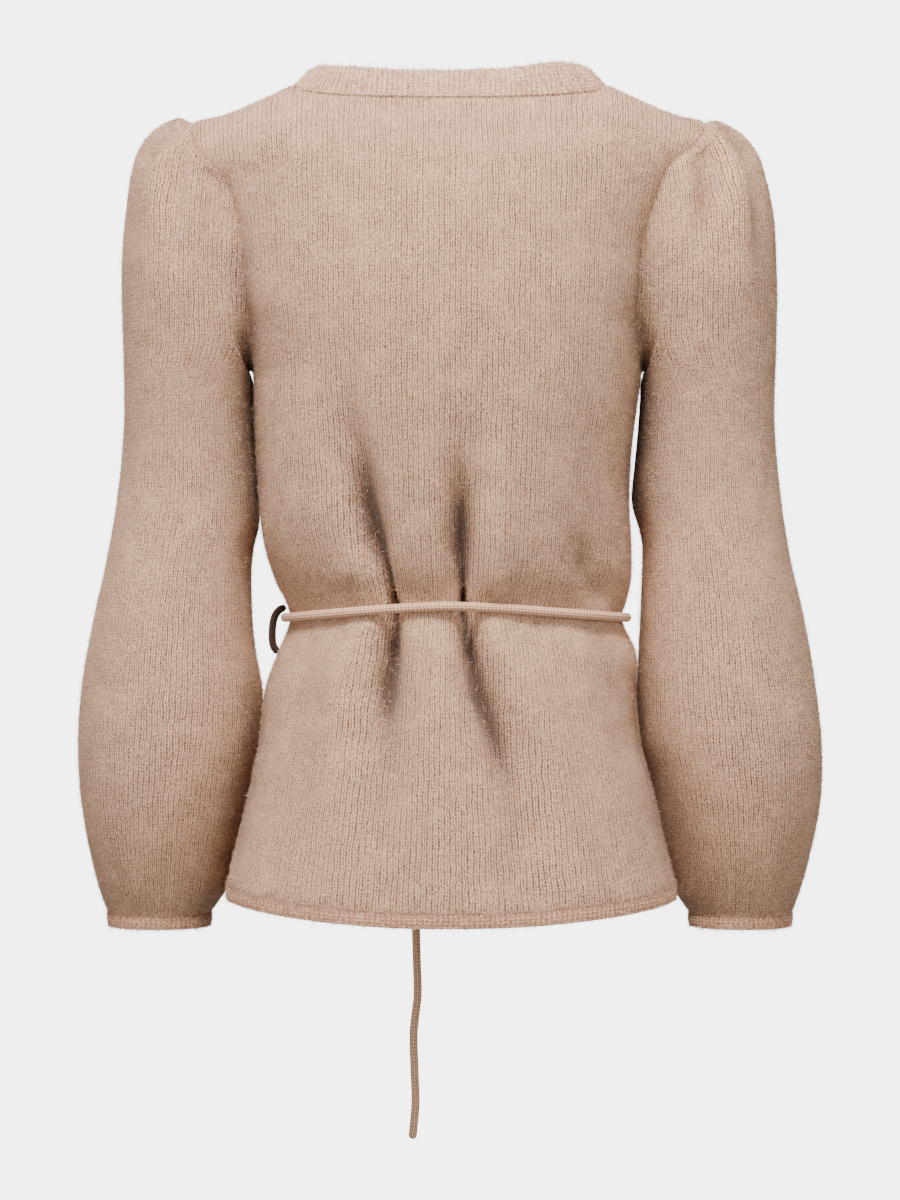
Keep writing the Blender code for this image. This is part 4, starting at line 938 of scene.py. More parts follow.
@dataclass
class BackPanel(BodyPanel):
    """The back, from the wearer's left to right."""

    face: Face = Face.BACK
    folds: tuple[Fold, ...] = BACK_FOLDS

    @cached_property
    def steps(self) -> dict[Side, np.ndarray]:
        """Shares of the way to each side, with one on each neck point."""
        s = self.form.sizes
        found = {}
        for side in Side:
            tip = self.form.side_edge(s.shoulder_tip, side, self.face)
            whole = self.form.arc_to(s.shoulder_tip, tip, self.face)
            share = self.form.arc_to(s.shoulder_tip, side * s.neck_half_width, self.face) / whole
            widest = abs(self.form.arc_to(s.underarm, side * PAST_SIDE, self.face))
            count = round(widest / s.back_step)
            inner = round(count * share)
            found[side] = np.concatenate([
                np.linspace(0, share, inner + 1), np.linspace(share, 1, count - inner + 1)[1:]
            ])
        return found

    def columns(self, height: float) -> np.ndarray:
        """Signed arc lengths of a row's points from the panel's middle."""
        left, right = (
            self.form.arc_to(height, self.form.side_edge(height, side, self.face), self.face)
            * self.steps[side]
            for side in Side
        )
        return np.concatenate([left[::-1], right[1:]])

    def top_offset(self) -> np.ndarray:
        """How far each column's top lies above the shoulder tip."""
        top = self.column_tops(self.columns(self.form.sizes.shoulder_tip))
        top[[0, -1]] = 0
        return top

    def cloth(self) -> Cloth:
        """The back's outer surface, its seams laid flat and shade painted on its sides beside the sleeves.
        """
        made = super().cloth()
        for column in (0, -1):
            self.seam_edge(made, column)
        self.seam_top(made)
        # Painted shade along the back's sides where they meet the sleeves
        x = made.points[..., 0]
        from_side = np.where(x > 0, x[:, :1] - x, x - x[:, -1:])
        shade = self.form.beside_shade(made.points[..., 2])
        near = np.exp(-((from_side / SHADE.side_reach) ** 2))
        made.hollow = np.maximum(made.hollow, SHADE.side * shade * near)
        return made


@dataclass
class FrontPanel(BodyPanel):
    """A front, from its side seam to its edge, with one more column where its band's free edge lies."""

    side: Side = Side.LEFT
    face: Face = Face.FRONT
    folds: tuple[Fold, ...] = FRONT_FOLDS

    def edge_arc(self, height: float) -> float:
        """The signed arc length from the panel's middle to its front edge."""
        return self.form.arc_to(height, self.side * self.form.front_edge(height), self.face)

    @cached_property
    def steps(self) -> np.ndarray:
        """Shares of the way from the side to the front edge."""
        s = self.form.sizes
        low = self.form.arc_to(s.lowest_row, self.side * PAST_SIDE, self.face)
        count = round(abs(low - self.edge_arc(s.lowest_row)) / s.mesh_step)
        return np.linspace(0, 1, count + 1)

    def columns(self, height: float) -> np.ndarray:
        """Signed arc lengths of a row's points from the panel's middle."""
        start = self.form.arc_to(height, self.form.side_edge(height, self.side, self.face), self.face)
        end = self.edge_arc(height)
        free = end - self.side * self.form.sizes.neckband
        return np.append(start + (end - start) * self.steps, free)

    def top_offset(self) -> np.ndarray:
        """How far each column's top lies above the shoulder tip."""
        tip = self.form.sizes.shoulder_tip
        top = self.column_tops(self.columns(tip))
        top[0] = 0
        top[-2:] = -tip
        return top

    def layer(self, points: np.ndarray) -> np.ndarray:
        """How far the left front lies in, under the right one."""
        if self.side is Side.RIGHT:
            return super().layer(points)
        s = self.form.sizes
        across = smooth_step((s.layer_x - points[..., 0]) / s.layer_x_fade)
        down = smooth_step((s.layer_top - points[..., 2]) / s.layer_top_fade)
        return s.layer_depth * across * down

    def cloth(self) -> Cloth:
        """The front's outer surface, its seams laid flat."""
        made = super().cloth()
        made.points[-1, -2] = (self.side * self.form.sizes.neck_half_width, 0, 0)
        self.seam_edge(made, 0)
        self.seam_top(made)
        return made


@dataclass(frozen=True)
class Gathers:
    """Small uneven gathers beside a seam: how many, how they slant and vary, where they fade."""

    waves: int
    wander: float
    slant: float
    uneven: float
    swells: int
    phase: float
    start: float
    reach: float
    height: float = 0.0009
    wander_waves: int = 3
    wander_phase: float = 1.1

    def rise(self, angle: np.ndarray, away: np.ndarray) -> np.ndarray:
        """How far they rise.

        Args:
            angle: The angle round the sleeve, a row.
            away: The distance from the seam, a column.

        Returns:
            The rise at each point, in metres.
        """
        wander = self.wander * np.sin(self.wander_waves * angle + self.wander_phase)
        wave = np.sin(self.waves * angle + wander + self.slant * away)
        swell = 1 - self.uneven + self.uneven * np.sin(self.swells * angle + self.phase)
        return self.height * wave * swell * smooth_step(away / self.start) * np.exp(-away / self.reach)


@dataclass(frozen=True)
class SleeveSizes:
    """How a sleeve's folds, gathers and knit are drawn over its rings, and how it hangs by the body."""

    head_lead: float = -0.4
    head_focus: int = 6
    fold_gain: float = 2.3
    fold_blend: float = 0.016
    fold_most: float = 0.0088
    fold_at_seam: float = 0.0030
    fold_slope: float = 0.18
    fold_start: float = 0.0045
    fold_delay: float = 0.4
    head: Gathers = Gathers(34, 0.7, 18.0, 0.35, 7, 0.4, 0.006, 0.022)
    cuff: Gathers = Gathers(26, 0.98, 0.0, 0.4, 5, 2.0, 0.004, 0.020)
    hang_height: float = 0.040
    hang_most: float = 0.0070
    hang_gap: float = 0.0003
    hang_above: Window = Window(-0.207, 0.008, -0.330, 0.035)
    hang_below: Window = Window(-0.400, 0.060, -0.595, 0.030)
    hang_below_shade: float = 0.6
    wale_shift: float = 0.022
    wale_shift_from: float = -0.230
    wale_shift_fade: float = 0.050
    edge_from: float = 0.70
    edge_fade: float = 0.27


SLEEVE = SleeveSizes()


class Sleeve:
    """A set-in sleeve from the armhole to the cuff's seam."""

    def __init__(self, form: BodyForm, side: Side, back: Cloth, front: Cloth) -> None:
        """Takes the form, the side, and the two panels that the sleeve is set into."""
        self.form = form
        self.side = side
        self.back = back
        self.front = front

    @staticmethod
    def outward(edge: np.ndarray, inside: np.ndarray, normals: np.ndarray) -> np.ndarray:
        """Unit vectors that lead on from a panel's edge in its own surface."""
        lead = unit(np.cross(runs_along(edge), normals))
        return lead * np.sign(((edge - inside) * lead).sum())

    def loop(self) -> tuple[np.ndarray, np.ndarray, np.ndarray, int]:
        """The armhole's points, normals and outward leads: underarm, up the back, down the front."""
        column, inner = (0, 1) if self.side is Side.LEFT else (-1, -2)
        first = len(self.form.side_rows()) - 1
        edges = []
        for cloth, edge, near in ((self.back, column, inner), (self.front, 0, 1)):
            points, normals = cloth.points[first:, edge].copy(), cloth.normals[first:, edge].copy()
            lead = self.outward(points, cloth.points[first - 1:-1, near], normals)
            edges.append((points, normals, lead))
        points, normals, leads = (
            np.concatenate([behind, before[-2:0:-1]]) for behind, before in zip(*edges)
        )
        top = len(edges[0][0]) - 1
        for place in (0, top):
            points[place, 1] = 0
            normals[place] = flattened(normals[place], 1)
        leads[0] = (0, 0, 1)
        leads[top] = unit(np.array([self.side * 1.0, 0, SLEEVE.head_lead]))
        return points, normals, leads, top

    def coarse_rings(self) -> tuple[np.ndarray, np.ndarray, np.ndarray]:
        """The sleeve's table of rings as points, the armhole's normals and each point's angle."""
        loop, loop_normals, leads, top = self.loop()
        count = len(loop)
        reach = reached(np.linalg.norm(np.roll(loop, -1, axis=0) - loop, axis=1))
        half = reach[top]
        angle = np.where(
            np.arange(count) <= top,
            math.pi * reach[:count] / half,
            math.pi + math.pi * (reach[:count] - half) / (reach[count] - half),
        )
        chord = (loop[top] - loop[0]) * (1, 0, 1)
        length = np.linalg.norm(chord)
        chord = chord / length
        across = np.array([chord[2], 0, -chord[0]])
        middle = (loop[0] + loop[top]) / 2
        loop_along = (loop - middle) @ chord / (length / 2)
        loop_across = (loop - middle) @ across
        rings = [
            loop + leads * self.form.sizes.seam_gap,
            loop + leads * HEAD_LIFT[0] + loop_normals * HEAD_LIFT[1],
        ]
        for number, ring in enumerate(SLEEVES[self.side]):
            head = HEAD[number] if number < len(HEAD) else HeadRing(1.0, 0.0)
            inner = np.array([self.side * ring.inner_x, 0, ring.inner_z])
            outer = np.array([self.side * ring.outer_x, 0, ring.outer_z])
            size = np.linalg.norm(outer - inner)
            run = (outer - inner) / size
            off = np.array([run[2], 0, -run[0]])
            along = loop_along + (-np.cos(angle) - loop_along) * head.oval
            point = (
                (inner + outer) / 2 + np.outer(along * size / 2, run)
                + np.outer(loop_across * (1 - head.oval), off)
            )
            round_y = ring.middle + ring.depth * np.sin(angle)
            point[:, 1] = loop[:, 1] + (round_y - loop[:, 1]) * head.oval
            rings.append(point + leads * head.push * (np.sin(angle / 2) ** 2)[:, None])
        return np.array(rings), loop_normals, angle

    def fine_rings(self, rings: np.ndarray) -> np.ndarray:
        """The rings at even steps down the sleeve, on smooth curves through the table's rings."""
        gaps = row_steps(rings)
        at = reached(gaps)
        slope = np.diff(rings, axis=0) / gaps[:, None, None]
        width = gaps[:, None, None]
        inner = (slope[:-1] * width[1:] + slope[1:] * width[:-1]) / (width[:-1] + width[1:])
        tangent = np.concatenate([slope[:1], inner, slope[-1:]])
        count = round(at[-1] / self.form.sizes.mesh_step)
        places = np.unique(np.concatenate([np.linspace(0, at[-1], count), at[1:3]]))
        i = np.clip(np.searchsorted(at, places) - 1, 0, len(at) - 2)
        step = gaps[i][:, None, None]
        t = ((places - at[i]) / gaps[i])[:, None, None]
        return between(t, step, rings, tangent, i)

    @staticmethod
    def ring_normals(grid: np.ndarray) -> np.ndarray:
        """Unit normals of a tube's rings of points, pointing away from its middle."""
        along = np.roll(grid, -1, axis=1) - np.roll(grid, 1, axis=1)
        normals = unit(np.cross(along, np.gradient(grid, axis=0)))
        return normals * np.sign((normals * (grid - grid.mean(axis=1, keepdims=True))).sum())

    def gathers(self, down: np.ndarray, angle: np.ndarray) -> np.ndarray:
        """Small uneven gathers under the armhole's top seam and above the cuff.

        Args:
            down: Distance down the sleeve of each ring.
            angle: Each column's angle round the sleeve, from the underarm.

        Returns:
            The rise at each point, in metres.
        """
        over = np.sin(angle / 2)[None, :] ** SLEEVE.head_focus
        head = SLEEVE.head.rise(angle[None, :], down[:, None]) * over
        return head + SLEEVE.cuff.rise(angle[None, :], (down[-1] - down)[:, None])

    def cloth(self) -> Cloth:
        """The sleeve's outer surface with its folds and gathers."""
        coarse, loop_normals, angle = self.coarse_rings()
        grid = self.fine_rings(coarse)
        normals = self.ring_normals(grid)
        before = tuple(fold if self.side > 0 else fold.mirrored() for fold in SLEEVE_FRONT_FOLDS)
        depth = grid[..., 1] - grid[..., 1].mean(axis=1, keepdims=True)
        from_behind = smooth_step(depth / SLEEVE.fold_blend + 0.5)
        behind_rise = sum(fold.rise_at(grid) for fold in SLEEVE_BACK_FOLDS[self.side])
        before_rise = sum(fold.rise_at(grid) for fold in before)
        down = reached(row_steps(grid))
        rise = SLEEVE.fold_gain * (behind_rise * from_behind + before_rise * (1 - from_behind))
        most = np.minimum(SLEEVE.fold_at_seam + SLEEVE.fold_slope * down, SLEEVE.fold_most)[:, None]
        rise = most * np.tanh(rise / most) + self.gathers(down, angle)
        rise *= smooth_step(down / SLEEVE.fold_start - SLEEVE.fold_delay)[:, None]
        stitches = self.stitches(grid, angle)
        grid, inward = self.beside_body(grid + normals * rise[..., None])
        normals = self.ring_normals(grid)
        normals[0] = loop_normals
        normals[-1] = flattened(normals[-1], 2)
        # Painted shade in the sleeve's valleys, painted highlight on its crests
        hollow = SHADE.sleeve_valley * np.clip(-rise / SHADE.sleeve_depth, 0, 1)
        hollow -= SHADE.sleeve_crest * np.clip(rise / SHADE.sleeve_crest_height, 0, 1)
        # Painted shade in the groove beside the back and where the sleeve lies against the body
        beside = np.maximum(SHADE.groove * self.groove(grid), inward)
        hollow = np.maximum(hollow, SHADE.sleeve_side * beside)
        # The armhole seam drawn as a dark line in the painted shading
        hollow[0] = np.maximum(hollow[0], SHADE.seam)
        return Cloth(grid, normals, stitches, hollow, closed=True)

    def beside_body(self, grid: np.ndarray) -> tuple[np.ndarray, np.ndarray]:
        """Hangs the sleeve's inner side against the body where no light shows between them.

        Args:
            grid: The sleeve's points.

        Returns:
            The moved points, and from 0 to 1 how much shade is painted where each lies in against the
            body.
        """
        out, z = grid[..., 0] * self.side, grid[..., 2]
        middle, height = out.mean(axis=1, keepdims=True), z[:, 0]
        inward = np.clip((middle - out) / (middle - out[:, :1]), 0, 1) ** 2
        inward *= np.exp(-(((z - z[:, :1]) / SLEEVE.hang_height) ** 2))
        column = 0 if self.side is Side.LEFT else -1
        seam = self.back.points[:len(self.form.side_rows()), column]
        gap = out[:, 0] - np.interp(height, seam[:, 2], seam[:, 0] * self.side) - SLEEVE.hang_gap
        above, below = SLEEVE.hang_above.share(height), SLEEVE.hang_below.share(height)
        moved = grid.copy()
        shift = np.clip(gap, 0, SLEEVE.hang_most) * (above + below)
        moved[..., 0] -= self.side * inward * shift[:, None]
        return moved, inward * (above + SLEEVE.hang_below_shade * below)[:, None]

    def groove(self, grid: np.ndarray) -> np.ndarray:
        """How much shade is painted on the sleeve beside the back's side edge, from 0 to 1."""
        first = len(self.form.side_rows()) - 1
        column = 0 if self.side is Side.LEFT else -1
        edge = self.back.points[first:, column]
        out, z = grid[..., 0] * self.side, grid[..., 2]
        line = np.interp(z, edge[:, 2], edge[:, 0] * self.side)
        near = np.exp(-((np.clip(out - line, 0, 1) / SHADE.groove_reach) ** 2))
        return near * self.form.beside_shade(z) * (grid[..., 1] > 0)

    def stitches(self, grid: np.ndarray, angle: np.ndarray) -> np.ndarray:
        """Each point's place in the sleeve's knit, whose wales hang straight down.

        Args:
            grid: The sleeve's points.
            angle: Each column's angle round the sleeve, from the underarm.

        Returns:
            Two lengths for each point: round the sleeve and down it.
        """
        rings = SLEEVES[self.side]
        x, z = grid[..., 0] * self.side, grid[..., 2]
        outer = sorted((ring.outer_z, ring.outer_x) for ring in rings)
        inner = sorted((ring.inner_z, ring.inner_x) for ring in rings)
        out_x = np.interp(z, *np.array(outer).T)
        high = smooth_step((z - SLEEVE.wale_shift_from) / SLEEVE.wale_shift_fade)
        in_x = np.interp(z, *np.array(inner).T) - SLEEVE.wale_shift * high
        share = np.clip((2 * x - out_x - in_x) / (out_x - in_x), -1, 1)
        lean = np.arcsin(share * 0.995)
        turn = np.where(angle <= math.pi, lean + math.pi / 2, 1.5 * math.pi - lean)
        beside = smooth_step((np.abs(share) - SLEEVE.edge_from) / SLEEVE.edge_fade)
        turn = turn * (1 - beside) + angle * beside
        return np.stack([turn / TAU * self.form.sizes.sleeve_turn, -z], axis=-1)


@dataclass
class MeshParts:
    """Points, faces of one or more sizes, a place in the knit for each face corner, sharp points and
    painted shading.
    """

    points: np.ndarray
    faces: list[np.ndarray]
    places: list[np.ndarray]
    rims: tuple[np.ndarray, ...] = ()
    hollow: np.ndarray | None = None

    def volume(self) -> float:
        """The signed volume, positive where the faces look outward."""
        total = 0.0
        for faces in self.faces:
            corners = self.points[faces]
            for k in range(1, faces.shape[1] - 1):
                crossed = np.cross(corners[:, k], corners[:, k + 1])
                total += float((corners[:, 0] * crossed).sum()) / 6
        return total

    def object(self, name: str, material: bpy.types.Material) -> bpy.types.Object:
        """Makes the object, smooth but for its rims.

        Args:
            name: The object's name.
            material: Its one material.

        Returns:
            The linked object.
        """
        LOG.info("%s: %d triangles", name, sum(len(f) * (f.shape[1] - 2) for f in self.faces))
        if self.volume() < 0:
            self.faces = [faces[:, ::-1] for faces in self.faces]
            self.places = [places[:, ::-1] for places in self.places]
        mesh = bpy.data.meshes.new(name)
        mesh.vertices.add(len(self.points))
        mesh.vertices.foreach_set("co", self.points.astype(np.float32).ravel())
        sizes = np.concatenate([np.full(len(faces), faces.shape[1]) for faces in self.faces])
        mesh.loops.add(int(sizes.sum()))
        mesh.loops.foreach_set("vertex_index", np.concatenate([f.ravel() for f in self.faces]))
        mesh.polygons.add(len(sizes))
        mesh.polygons.foreach_set("loop_start", reached(sizes)[:-1])
        mesh.polygons.foreach_set("loop_total", sizes)
        mesh.update(calc_edges=True)
        layer = mesh.uv_layers.new(name="stitches")
        places = np.concatenate([p.reshape(-1, 2) for p in self.places])
        layer.data.foreach_set("uv", places.astype(np.float32).ravel())
        mesh.polygons.foreach_set("use_smooth", np.ones(len(sizes), bool))
        self.mark_rims(mesh)
        # Stores the painted shade and highlight that the wool's colour is mixed with
        if self.hollow is not None:
            layer = mesh.attributes.new("hollow", "FLOAT", "POINT")
            layer.data.foreach_set("value", self.hollow.astype(np.float32))
        mesh.materials.append(material)
        made = bpy.data.objects.new(name, mesh)
        bpy.context.scene.collection.objects.link(made)
        return made

    def mark_rims(self, mesh: bpy.types.Mesh) -> None:
        """Makes the edges along each rim sharp."""
        if not self.rims:
            return
        ends = np.empty(len(mesh.edges) * 2, np.int32)
        mesh.edges.foreach_get("vertices", ends)
        ends = ends.reshape(-1, 2)
        sharp = np.zeros(len(ends), bool)
        for rim in self.rims:
            on_rim = np.zeros(len(self.points), bool)
            on_rim[rim] = True
            sharp |= on_rim[ends].all(axis=1)
        mesh.attributes.new("sharp_edge", "BOOLEAN", "EDGE").data.foreach_set("value", sharp)


def grid_quads(rows: int, columns: int, closed: bool) -> np.ndarray:
    """Indices of a grid's quads, row by row.

    Args:
        rows: Rows of points.
        columns: Points in a row.
        closed: Whether the last column joins the first.

    Returns:
        Four indices a quad, in order round it.
    """
    starts = np.arange(rows - 1)[:, None] * columns
    here = np.arange(columns if closed else columns - 1)[None, :]
    after = (here + 1) % columns
    around = (starts + here, starts + after, starts + columns + after, starts + columns + here)
    return np.stack(around, axis=-1).reshape(-1, 4)


def grid_places(stitches: np.ndarray, closed: bool, turn: float = 0.0) -> np.ndarray:
    """Each quad corner's place in the knit.

    Args:
        stitches: A grid of places.
        closed: Whether the last column joins the first.
        turn: How far the knit runs all the way round, where closed.

    Returns:
        Two values for each corner of each quad.
    """
    if closed:
        stitches = np.concatenate([stitches, stitches[:, :1] + (turn, 0)], axis=1)
    corners = (stitches[:-1, :-1], stitches[:-1, 1:], stitches[1:, 1:], stitches[1:, :-1])
    return np.stack(corners, axis=2).reshape(-1, 4, 2)


class Cut(NamedTuple):
    """A panel's size as it's cut: its widest, its longest, and its area where it isn't a rectangle."""

    width: float
    length: float
    area: float | None = None


SLEEVE_CUT = Cut(0.533, 0.605, 0.199)


@dataclass
class Wall:
    """A closed wall of cloth under a surface, its edges drawn in a little at their seams."""

    cloth: Cloth
    thickness: float
    seam_dip: float = 0.0008
    dip_reach: float = 0.0024

    def parts(self) -> MeshParts:
        """The wall's points and faces."""
        cloth = self.cloth
        dip = self.seam_dip * np.exp(-(cloth.edge_distance() / self.dip_reach) ** 2)
        outer = cloth.points - cloth.normals * dip[..., None]
        inner = cloth.points - cloth.normals * self.thickness
        rows, columns = outer.shape[:2]
        closed = cloth.closed
        quads = grid_quads(rows, columns, closed)
        places = grid_places(cloth.stitches, closed, SLEEVE_CUT.width)
        count = rows * columns
        index = np.arange(count).reshape(rows, columns)
        faces, spots = [quads, quads[:, ::-1] + count], [places, places[:, ::-1]]
        flat = cloth.stitches.reshape(-1, 2)
        if closed:
            borders = [np.append(index[0], index[0, 0]), np.append(index[-1], index[-1, 0])[::-1]]
        else:
            borders = [np.concatenate([index[0], index[1:, -1], index[-1, -2::-1], index[-2::-1, 0]])]
        for border in borders:
            here, after = border[:-1], border[1:]
            faces.append(np.stack([after, here, here + count, after + count], axis=1))
            spots.append(np.stack([flat[after], flat[here], flat[here], flat[after]], axis=1))
        rim = np.unique(np.concatenate(borders))
        points = np.concatenate([outer.reshape(-1, 3), inner.reshape(-1, 3)])
        hollow = np.tile(cloth.hollow.ravel(), 2)
        return MeshParts(points, faces, spots, (rim, rim + count), hollow)


@dataclass
class RibBand:
    """A narrow rib knitted on along an edge: its feet, its free edge, and which way its ribs rise."""

    foot: np.ndarray
    free: np.ndarray
    through: np.ndarray
    out: np.ndarray
    bulge: float
    sizes: Sizes
    closed: bool = False
    seams: tuple[tuple[int, float], ...] = ()
    columns_a_rib: int = 6
    relief: float = 1.3
    ground: float = 0.35

    def surface(self) -> Cloth:
        """The band's outer face without its ribs."""
        shares = np.linspace(0, 1, 5)[:, None, None]
        points = self.foot + (self.free - self.foot) * shares
        normals = unit(self.through + (self.out - self.through) * shares)
        along = lengths_along((self.foot + self.free) / 2)
        depth = np.linalg.norm(self.free - self.foot, axis=1)
        places = np.stack(np.broadcast_arrays(along[None, :], depth * shares[..., 0]), axis=-1)
        return Cloth(points, normals, places, np.zeros(places.shape[:2]), self.closed)

    def even(self) -> tuple[list[np.ndarray], np.ndarray, int]:
        """The four lines at even steps along the band, those steps, and how many ribs it has."""
        lines = [self.foot, self.free, self.through, self.out]
        if self.closed:
            lines = [np.concatenate([line, line[:1]]) for line in lines]
        reach = lengths_along((lines[0] + lines[1]) / 2)
        ribs = max(round(reach[-1] / self.sizes.rib_pitch), 4)
        at = np.linspace(0, reach[-1], ribs * self.columns_a_rib + 1)
        lines = [resampled(line, at, reach) for line in lines]
        if self.closed:
            lines, at = [line[:-1] for line in lines], at[:-1]
        return lines, at, ribs

    def parts(self) -> MeshParts:
        """The band's points and faces."""
        (foot, free, through, out), at, ribs = self.even()
        wall = self.sizes.wall
        depth = float(np.linalg.norm(free - foot, axis=1).mean())
        turn = wall / 2 / depth
        profile = (
            (0.0, 0.0, 0.3), (0.12, 0.0, 1.0), (0.5, 0.0, 1.0), (1 - turn, 0.0, 1.0),
            (1 - turn * 0.3, 0.15, 0.7), (1.0, 0.5, 0.1), (1 - turn * 0.3, 0.85, 0.0),
            (1 - turn, 1.0, 0.0), (0.5, 1.0, 0.0), (0.0, 1.0, 0.0),
        )
        wave = 0.5 - 0.5 * np.cos(TAU * np.arange(len(at)) / self.columns_a_rib)
        rows, places = [], []
        for share, inward, ribbed in profile:
            line = foot + (free - foot) * share
            normal = unit(through + (out - through) * share)
            swell = self.bulge * math.sin(math.pi * share)
            ribs_rise = self.sizes.rib_rise * self.relief * (wave - self.ground)
            rise = swell - wall * inward + ribs_rise * ribbed
            rows.append(line + normal * np.atleast_1d(rise)[:, None])
            places.append(np.stack([at, np.full(len(at), depth * share)], axis=1))
        grid = np.array(rows)
        for column, y in self.seams:
            grid[:, column, 1] = y
        count, columns = grid.shape[:2]
        stitches = np.array(places)
        quads = grid_quads(count + 1, columns, self.closed) % (count * columns)
        turned_back = np.concatenate([stitches, stitches[:1]])
        spots = grid_places(turned_back, self.closed, ribs * self.sizes.rib_pitch)
        faces, corners = [quads], [spots]
        if not self.closed:
            for column, turned in ((0, 1), (columns - 1, -1)):
                cap = (np.arange(count) * columns + column)[::turned]
                faces.append(cap[None, :])
                corners.append(stitches[:, column][::turned][None])
        return MeshParts(grid.reshape(-1, 3), faces, corners)


class BandMaker:
    """Draws the ribs on the panels' edges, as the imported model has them."""

    lean = (0.68, 0.0, 0.733)
    back_lean = -0.26
    hem_bulge = 0.0005
    hem_flare = 0.0002
    cuff_bulge = 0.0009
    cuff_draw = 0.0008
    narrow_from = 0.035

    def __init__(self, sizes: Sizes) -> None:
        """Takes the cardigan's sizes."""
        self.sizes = sizes

    def hem(self, cloth: Cloth, last: int | None) -> RibBand:
        """The rib under a panel.

        Args:
            cloth: The panel's surface.
            last: Its last column, or None for all.

        Returns:
            The band.
        """
        s = self.sizes
        edge, out = cloth.points[0, :last], cloth.normals[0, :last]
        foot = edge + (0, 0, s.tuck)
        free = edge + out * self.hem_flare + (0, 0, -s.hem)
        return RibBand(foot, free, out, out, self.hem_bulge, s)

    def neck_back(self, cloth: Cloth) -> RibBand:
        """The standing rib across the back neck."""
        s = self.sizes
        on_neck = np.flatnonzero(np.abs(cloth.points[-1, :, 0]) <= s.neck_half_width + SLIGHT)
        edge, through = cloth.points[-1, on_neck], cloth.normals[-1, on_neck]
        share = np.clip(edge[:, 0] / s.neck_half_width, -1, 1)
        lead = unit(np.stack([
            -self.lean[0] * share**3,
            self.back_lean * (1 - share**2),
            self.lean[2] + (1 - self.lean[2]) * (1 - share**2),
        ], axis=1))
        shares, *tops = np.array(COLLAR_TOPS).T
        left, right = (np.interp(np.abs(share), shares, top) for top in tops)
        top = np.where(share > 0, left, right)
        high = (top - edge[:, 2]) / lead[:, 2]
        high[[0, -1]] = s.neckband_end
        free = edge + lead * high[:, None]
        out = unit(np.cross(lead, runs_along(edge)))
        out *= np.sign((out * through).sum(axis=1, keepdims=True))
        out[[0, -1]] = flattened(out[[0, -1]], 1)
        foot = edge - lead * s.tuck
        seams = ((0, s.seam_gap / 2), (-1, s.seam_gap / 2))
        return RibBand(foot, free, through, out, 0.0, s, seams=seams)

    def front(self, cloth: Cloth, side: Side) -> RibBand:
        """The rib down a front's edge."""
        s = self.sizes
        edge, laid, through = cloth.points[:, -2], cloth.points[:, -1], cloth.normals[:, -2]
        drop = (0, 0, s.hem)
        edge = np.concatenate([[edge[0] - drop], edge])
        laid = np.concatenate([[laid[0] - drop], laid])
        through = np.concatenate([[through[0]], through])
        turned = smooth_step((edge[:, 2] + s.band_turn) / s.band_turn)[:, None]
        top_lead = np.array([-side * self.lean[0], self.lean[1], self.lean[2]])
        lead = unit(unit(laid - edge) * (1 - turned) + top_lead * turned)
        out = unit(np.cross(lead, runs_along(edge)))
        out *= np.sign((out * through).sum(axis=1, keepdims=True))
        out[-1] = flattened(out[-1:], 1)[0]
        below = smooth_step(-edge[:, 2] / self.narrow_from)[:, None]
        high = s.neckband_end + (s.neckband - s.neckband_end) * below
        foot, free = edge - lead * s.tuck, edge + lead * high
        return RibBand(foot, free, through, out, 0.0, s, seams=((-1, -s.seam_gap / 2),))

    def cuff(self, cloth: Cloth) -> RibBand:
        """The rib that gathers a sleeve's end."""
        s = self.sizes
        edge, out = cloth.points[-1], cloth.normals[-1]
        foot = edge + (0, 0, s.tuck)
        free = edge * (1, 1, 0) + (0, 0, s.cuff_bottom) - out * self.cuff_draw
        return RibBand(foot, free, out, out, self.cuff_bulge, s, closed=True)


class Route:
    """A smooth curve through a cord's points, at even steps."""

    def __init__(self, points: Sequence[tuple[float, float, float]], step: float) -> None:
        """Takes the route's points and the step in metres."""
        given = np.array(points, float)
        ahead = np.concatenate([[2 * given[0] - given[1]], given, [2 * given[-1] - given[-2]]])
        fine = []
        for before, start, end, after in zip(ahead, ahead[1:], ahead[2:], ahead[3:]):
            for t in np.arange(0, 1, ROUTE_SHARE):
                fine.append(0.5 * (
                    2 * start + (end - before) * t
                    + (2 * before - 5 * start + 4 * end - after) * t**2
                    + (3 * start - before - 3 * end + after) * t**3
                ))
        line = np.array(fine + [given[-1]])
        self.length = float(lengths_along(line)[-1])
        self.points = resampled(line, np.linspace(0, self.length, round(self.length / step) + 1))

    def frames(self) -> tuple[np.ndarray, np.ndarray]:
        """Two unit vectors across the curve at each point, carried along it without twist."""
        runs = runs_along(self.points)
        start = np.cross(runs[0], (0, 0, 1))
        if np.linalg.norm(start) < 0.1:
            start = np.cross(runs[0], (0, 1, 0))
        across = [start / np.linalg.norm(start)]
        for run in runs[1:]:
            kept = across[-1] - run * (across[-1] @ run)
            across.append(kept / np.linalg.norm(kept))
        first = np.array(across)
        return first, np.cross(runs, first)


